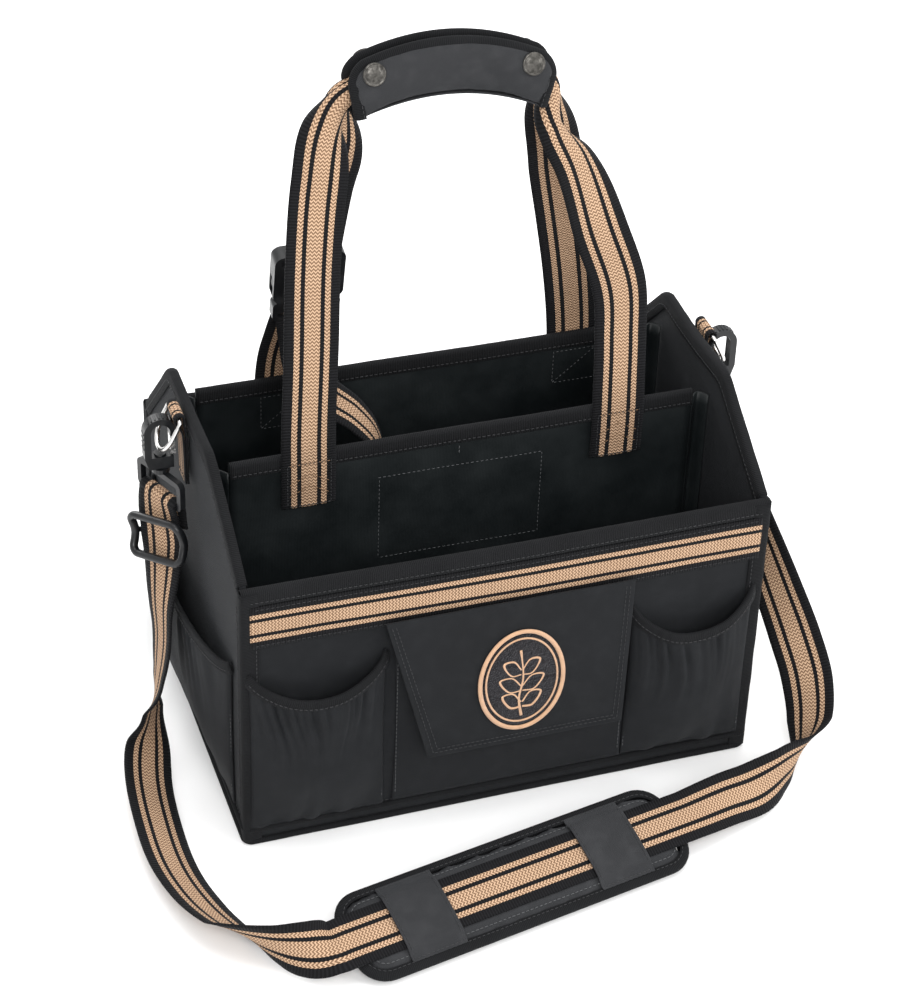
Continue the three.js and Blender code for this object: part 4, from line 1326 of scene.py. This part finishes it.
def build_grip():
    grip_leaf("grip_front_pad", -1, "grip_leaf", "grip_front_leaf")
    grip_leaf("grip_back_pad", 1, "handle", "grip_back_leaf")
    build_grip_tape("front", -1, "grip_leaf")
    build_grip_tape("back", 1, "handle")

    def skin(u, v):
        angle = math.pi * u
        across = (GRIP_CORE + 2.2) * math.cos(angle)
        low = GRIP_HIGH / 2 - 1.5 + 2.6 * math.sin(angle)
        return on_grip(0.002 + 0.996 * v, -low, GRIP_Y + across)
    fold = sheet("grip_fold", grid(skin, 60, 16), PADDING, 1.2 * MM)
    apply_modifiers(fold)
    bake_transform(fold)
    lean = math.radians(SNAP_TILT)
    depth = grip_core(SNAP_HIGH) + 0.5 + GRIP_BULGE * 0.9 + 0.6

    def snap(name, t, facing):
        axis = Vector((0, facing * math.cos(lean), math.sin(lean)))
        face = on_grip(t, SNAP_HIGH, GRIP_Y + facing * depth)
        return lathe(name, SNAP_PROFILE, face, axis, ANTIQUE)
    for side, t in (("left", 0.115), ("right", 0.87)):
        put(snap(f"{side}_snap_face", t, -1), "grip_leaf", "gunmetal", f"{side}_snap_cap")
        repaint(f"{side}_snap_stud", ANTIQUE)
        put(snap(f"{side}_snap_back", t, 1), "handle", "gunmetal")


# Buckle, hooks and rings


def build_hardware():
    for node in ("buckle_socket", "buckle_plug", "left_buckle_prong", "right_buckle_prong"):
        round_edges(node, PLASTIC, 1.1)
    for side, sign in (("left", -1), ("right", 1)):
        round_edges(f"{side}_hook", PLASTIC, 1.3)
        round_edges(f"{side}_hook_eye", PLASTIC, 0.9)
        round_edges(f"{side}_hook_gate", STEEL, 0.7)
        build_ring(side, sign)
        build_tab(side, sign)
        build_hook_ribs(side, sign)


def at_mount(sign, out, along, z):
    return mm(sign * (HALF_X + out), 5.0 + along, z)


def build_ring(side, sign):
    wire, corner, straight = 1.75, 15.3, 14.7
    lean = math.radians(26)
    flat = [(-corner * 0.5, 0.0), (0.0, 0.0), (corner * 0.5, 0.0), (corner - 1.5, 0.0),
            (corner - 0.3, -0.9), (corner, -3.0), (corner, -straight * 0.6)]
    for k in range(13):
        angle = math.pi * k / 12
        flat.append((corner * math.cos(angle), -straight - corner * math.sin(angle)))
    flat += [(-corner, -straight * 0.6), (-corner, -3.0), (-corner + 0.3, -0.9), (-corner + 1.5, 0.0)]
    points = []
    for along, down in flat:
        points.append(at_mount(sign, 8.0 - down * math.sin(lean), along, 283 + down * math.cos(lean)))
    obj = tube(f"{side}_ring_wire", points, wire * MM, STEEL, 14, True)
    put(obj, f"{side}_ring", "steel", f"{side}_d_ring")
    obj.modifiers.new("round", "SUBSURF").render_levels = 1


def build_tab(side, sign):
    stops = [(2.5, 227), (2.6, 250), (2.9, 268), (4.0, 277)]
    for k in range(7):
        angle = math.radians(200 - 220 * k / 6)
        stops.append((7.5 + 3.6 * math.cos(angle), 283 + 3.6 * math.sin(angle)))
    stops += [(5.7, 271), (4.5, 256), (4.2, 240), (4.2, 227)]
    path = [Vector((a, 0, b)) for a, b in stops]
    full = []
    for i, (a, b) in enumerate(stops):
        tangent = frame_at(path, i, False)
        normal = Vector((-tangent.z, 0, tangent.x))
        full.append((sign * (HALF_X + a), 5.0, b, sign * normal.x, 0, normal.z))
    obj = ribbon(f"{side}_tab_loop", full, 90, 23.0, 1.2, 10, cup=0.0, material=NARROW_WEBBING)[0]
    put(obj, "bag", "webbing", f"{side}_ring_tab")
    face = [at_mount(sign, 5.3, -10 + 2 * k, 232) for k in range(11)]
    stitches.line("bag", DARK_THREAD, face, Vector((sign, 0, 0)))


def build_hook_ribs(side, sign):
    """Raised grip bars over the crown and back of the hook."""
    points, faces = [], []
    for k in range(11):
        straight = k < 4
        angle = 0.0 if straight else math.radians(14 * k - 10)
        down = (3 - k) * 4.2 if straight else 0.0
        z = 269.5 - down + 12.05 * math.sin(angle)
        radial = Vector((sign * math.cos(angle), 0, math.sin(angle)))
        tangent = Vector((-sign * math.sin(angle), 0, math.cos(angle)))
        centre = at_mount(sign, 20.1 + 12.05 * math.cos(angle), 0, z)
        start = len(points)
        for y in (-3.2, 3.2):
            for a, b in ((-0.8, -0.4), (-0.45, 0.5), (0.45, 0.5), (0.8, -0.4)):
                points.append(centre + Vector((0, y * MM, 0)) + tangent * (a * MM) + radial * (b * MM))
        faces += [(start + 3, start + 2, start + 1, start), (start + 4, start + 5, start + 6, start + 7)]
        for a in range(4):
            b = (a + 1) % 4
            faces.append((start + a, start + b, start + 4 + b, start + 4 + a))
    obj = new_mesh(f"{side}_hook_ribs", points, faces, PLASTIC)
    obj.data.polygons.foreach_set("use_smooth", [False] * len(obj.data.polygons))
    put(obj, f"{side}_hook", "plastic")


# Shoulder pad

PAD_HALF_LONG, PAD_HALF_WIDE, PAD_CORNER = 135, 36, 22
# Rings of the body: a share of the outline, and a height above the pad's middle in mm.
PAD_RINGS = ((0.02, -2.6), (0.5, -2.6), (0.85, -2.6), (0.97, -2.2), (1.0, -0.8),
             (1.0, 0.8), (0.97, 2.2), (0.85, 2.6), (0.5, 2.6), (0.02, 2.6))
# A sleeve's section: lengths across the strap, and out from the pad's middle, in mm.
SLEEVE = ((-31, 4.2), (-28, 4.4), (-24.5, 5.2), (-22.5, 7.2), (-20, 8.0), (-10, 8.6), (0, 8.8),
          (10, 8.6), (20, 8.0), (22.5, 7.2), (24.5, 5.2), (28, 4.4), (31, 4.2))


def pad_outline(grow):
    """The pad's edge moved out by grow mm, as lengths along and across the strap."""
    return rounded_rectangle(PAD_HALF_LONG + grow, PAD_HALF_WIDE + grow, PAD_CORNER + grow, 8, 6.0)


def pad_point(a, b, c):
    return on_pad(a, b, c) * MM


def build_pad():
    outline = pad_outline(-2.5)
    rings = [[pad_point(a * share, b * share, c) for a, b in outline] for share, c in PAD_RINGS]
    obj = loft("pad_body", rings, PADDING)
    inflate(obj, 4.0, 4.0, 2.2, keep_above=0.6)
    put(obj, "pad", "fabric", "shoulder_pad")
    line = [pad_point(a, b, 0) for a, b in pad_outline(-0.6)]
    rows = []
    for i, p in enumerate(line):
        away = frame_at(line, i, True).cross(PAD_NORMAL).normalized()
        rows.append(fold_at(p, PAD_NORMAL, away, PAD_FOLD))
    tape = folded_tape("pad_edge_tape", rows + rows[:1], line + line[:1], 2.0, 0.7)
    put(tape, "pad", "binding")
    for face in (1, -1):
        for inset, lift, thread in ((-5.4, 3.75, DARK_THREAD), (-11.0, 4.1, GREY_THREAD)):
            seam = [pad_point(a, b, face * lift) for a, b in pad_outline(inset)]
            stitches.line("pad", thread, seam + seam[:1], PAD_NORMAL * face, radius=0.28)
    build_sleeve("pad_left_sleeve", -77)
    build_sleeve("pad_right_sleeve", 77)


def build_sleeve(name, offset):
    """A band over the pad that the strap runs through."""
    rows = []
    for i in range(21):
        a = offset - 22 + 44 * i / 20
        rows.append([pad_point(a, b, c + 0.35 * wander(a * 0.09, b * 0.08, offset)) for b, c in SLEEVE])
    obj = sheet(f"{name}_cloth", rows, PADDING, 1.2 * MM)
    bend = obj.modifiers.new("soft", "SUBSURF")
    bend.levels = bend.render_levels = 1
    put(obj, "pad", "fabric", name)
    for a in (offset - 19.5, offset + 19.5):
        line = [pad_point(a, b, c + 0.75) for b, c in SLEEVE]
        stitches.line("pad", DARK_THREAD, smooth_curve(line, 60), PAD_NORMAL, radius=0.26)
    for b in (-29.2, 29.2):
        line = [pad_point(offset - 20 + 2 * k, b, 5.15) for k in range(21)]
        stitches.line("pad", DARK_THREAD, line, PAD_NORMAL, radius=0.28)


def sew_strap_ends():
    """The stitched end of the strap under the left eye."""
    points, outs = [], []
    for k in range(15):
        x, y, z, *facing = towards_front((-213.2, -14 + 2 * k, 186, 1, 0.2, 0))
        points.append(mm(x, y, z))
        outs.append(Vector(facing).normalized())
    stitches.line("bag", DARK_THREAD, points, outs)


# Stage and lights


def build_stage():
    size = 6.0
    corners = [(-size, -size, 0), (size, -size, 0), (size, size, 0), (-size, size, 0)]
    data = bpy.data.meshes.new("floor")
    data.from_pydata(corners, [], [(0, 1, 2, 3)])
    floor = bpy.data.objects.new("floor", data)
    scene.collection.objects.link(floor)
    s = Shader("floor_white", 0.75)
    at = s.object_axes()[0]
    tone = s.noise(at, 3.0)
    data.materials.append(s.finish(s.mix(tone, (0.9, 0.9, 0.9, 1), (0.93, 0.93, 0.93, 1))))


def area_light(name, place, target, size, power):
    data = bpy.data.lights.new(name, "AREA")
    data.shape = "RECTANGLE"
    data.size, data.size_y = size
    data.energy = power
    lamp = bpy.data.objects.new(name, data)
    scene.collection.objects.link(lamp)
    lamp.location = place
    lamp.rotation_euler = (Vector(target) - Vector(place)).to_track_quat("-Z", "Y").to_euler()


def build_lights():
    world = bpy.data.worlds.new("studio")
    scene.world = world
    world.use_nodes = True
    world.node_tree.nodes["Background"].inputs[0].default_value = (1, 1, 1, 1)
    world.node_tree.nodes["Background"].inputs[1].default_value = 1.0
    scene.view_settings.view_transform = "Standard"
    area_light("key", (-0.55, -2.5, 2.2), (0, 0, 0.2), (1.4, 1.4), 56)
    area_light("fill", (2.2, -1.4, 1.5), (0, 0, 0.2), (1.6, 1.6), 34)
    area_light("top", (0.1, 0.3, 2.8), (0, 0, 0.2), (2.0, 2.0), 40)
    area_light("back", (-0.6, 2.3, 1.6), (0, 0, 0.25), (1.6, 1.2), 26)


build_walls()
build_corners()
build_base()
build_partitions()
build_partition_stitching()
build_pockets()
build_front_band()
build_flap()
build_badge()
build_handles()
build_grip()
build_hardware()
build_pad()
sew_strap_ends()
stitches.build()
build_stage()
build_lights()
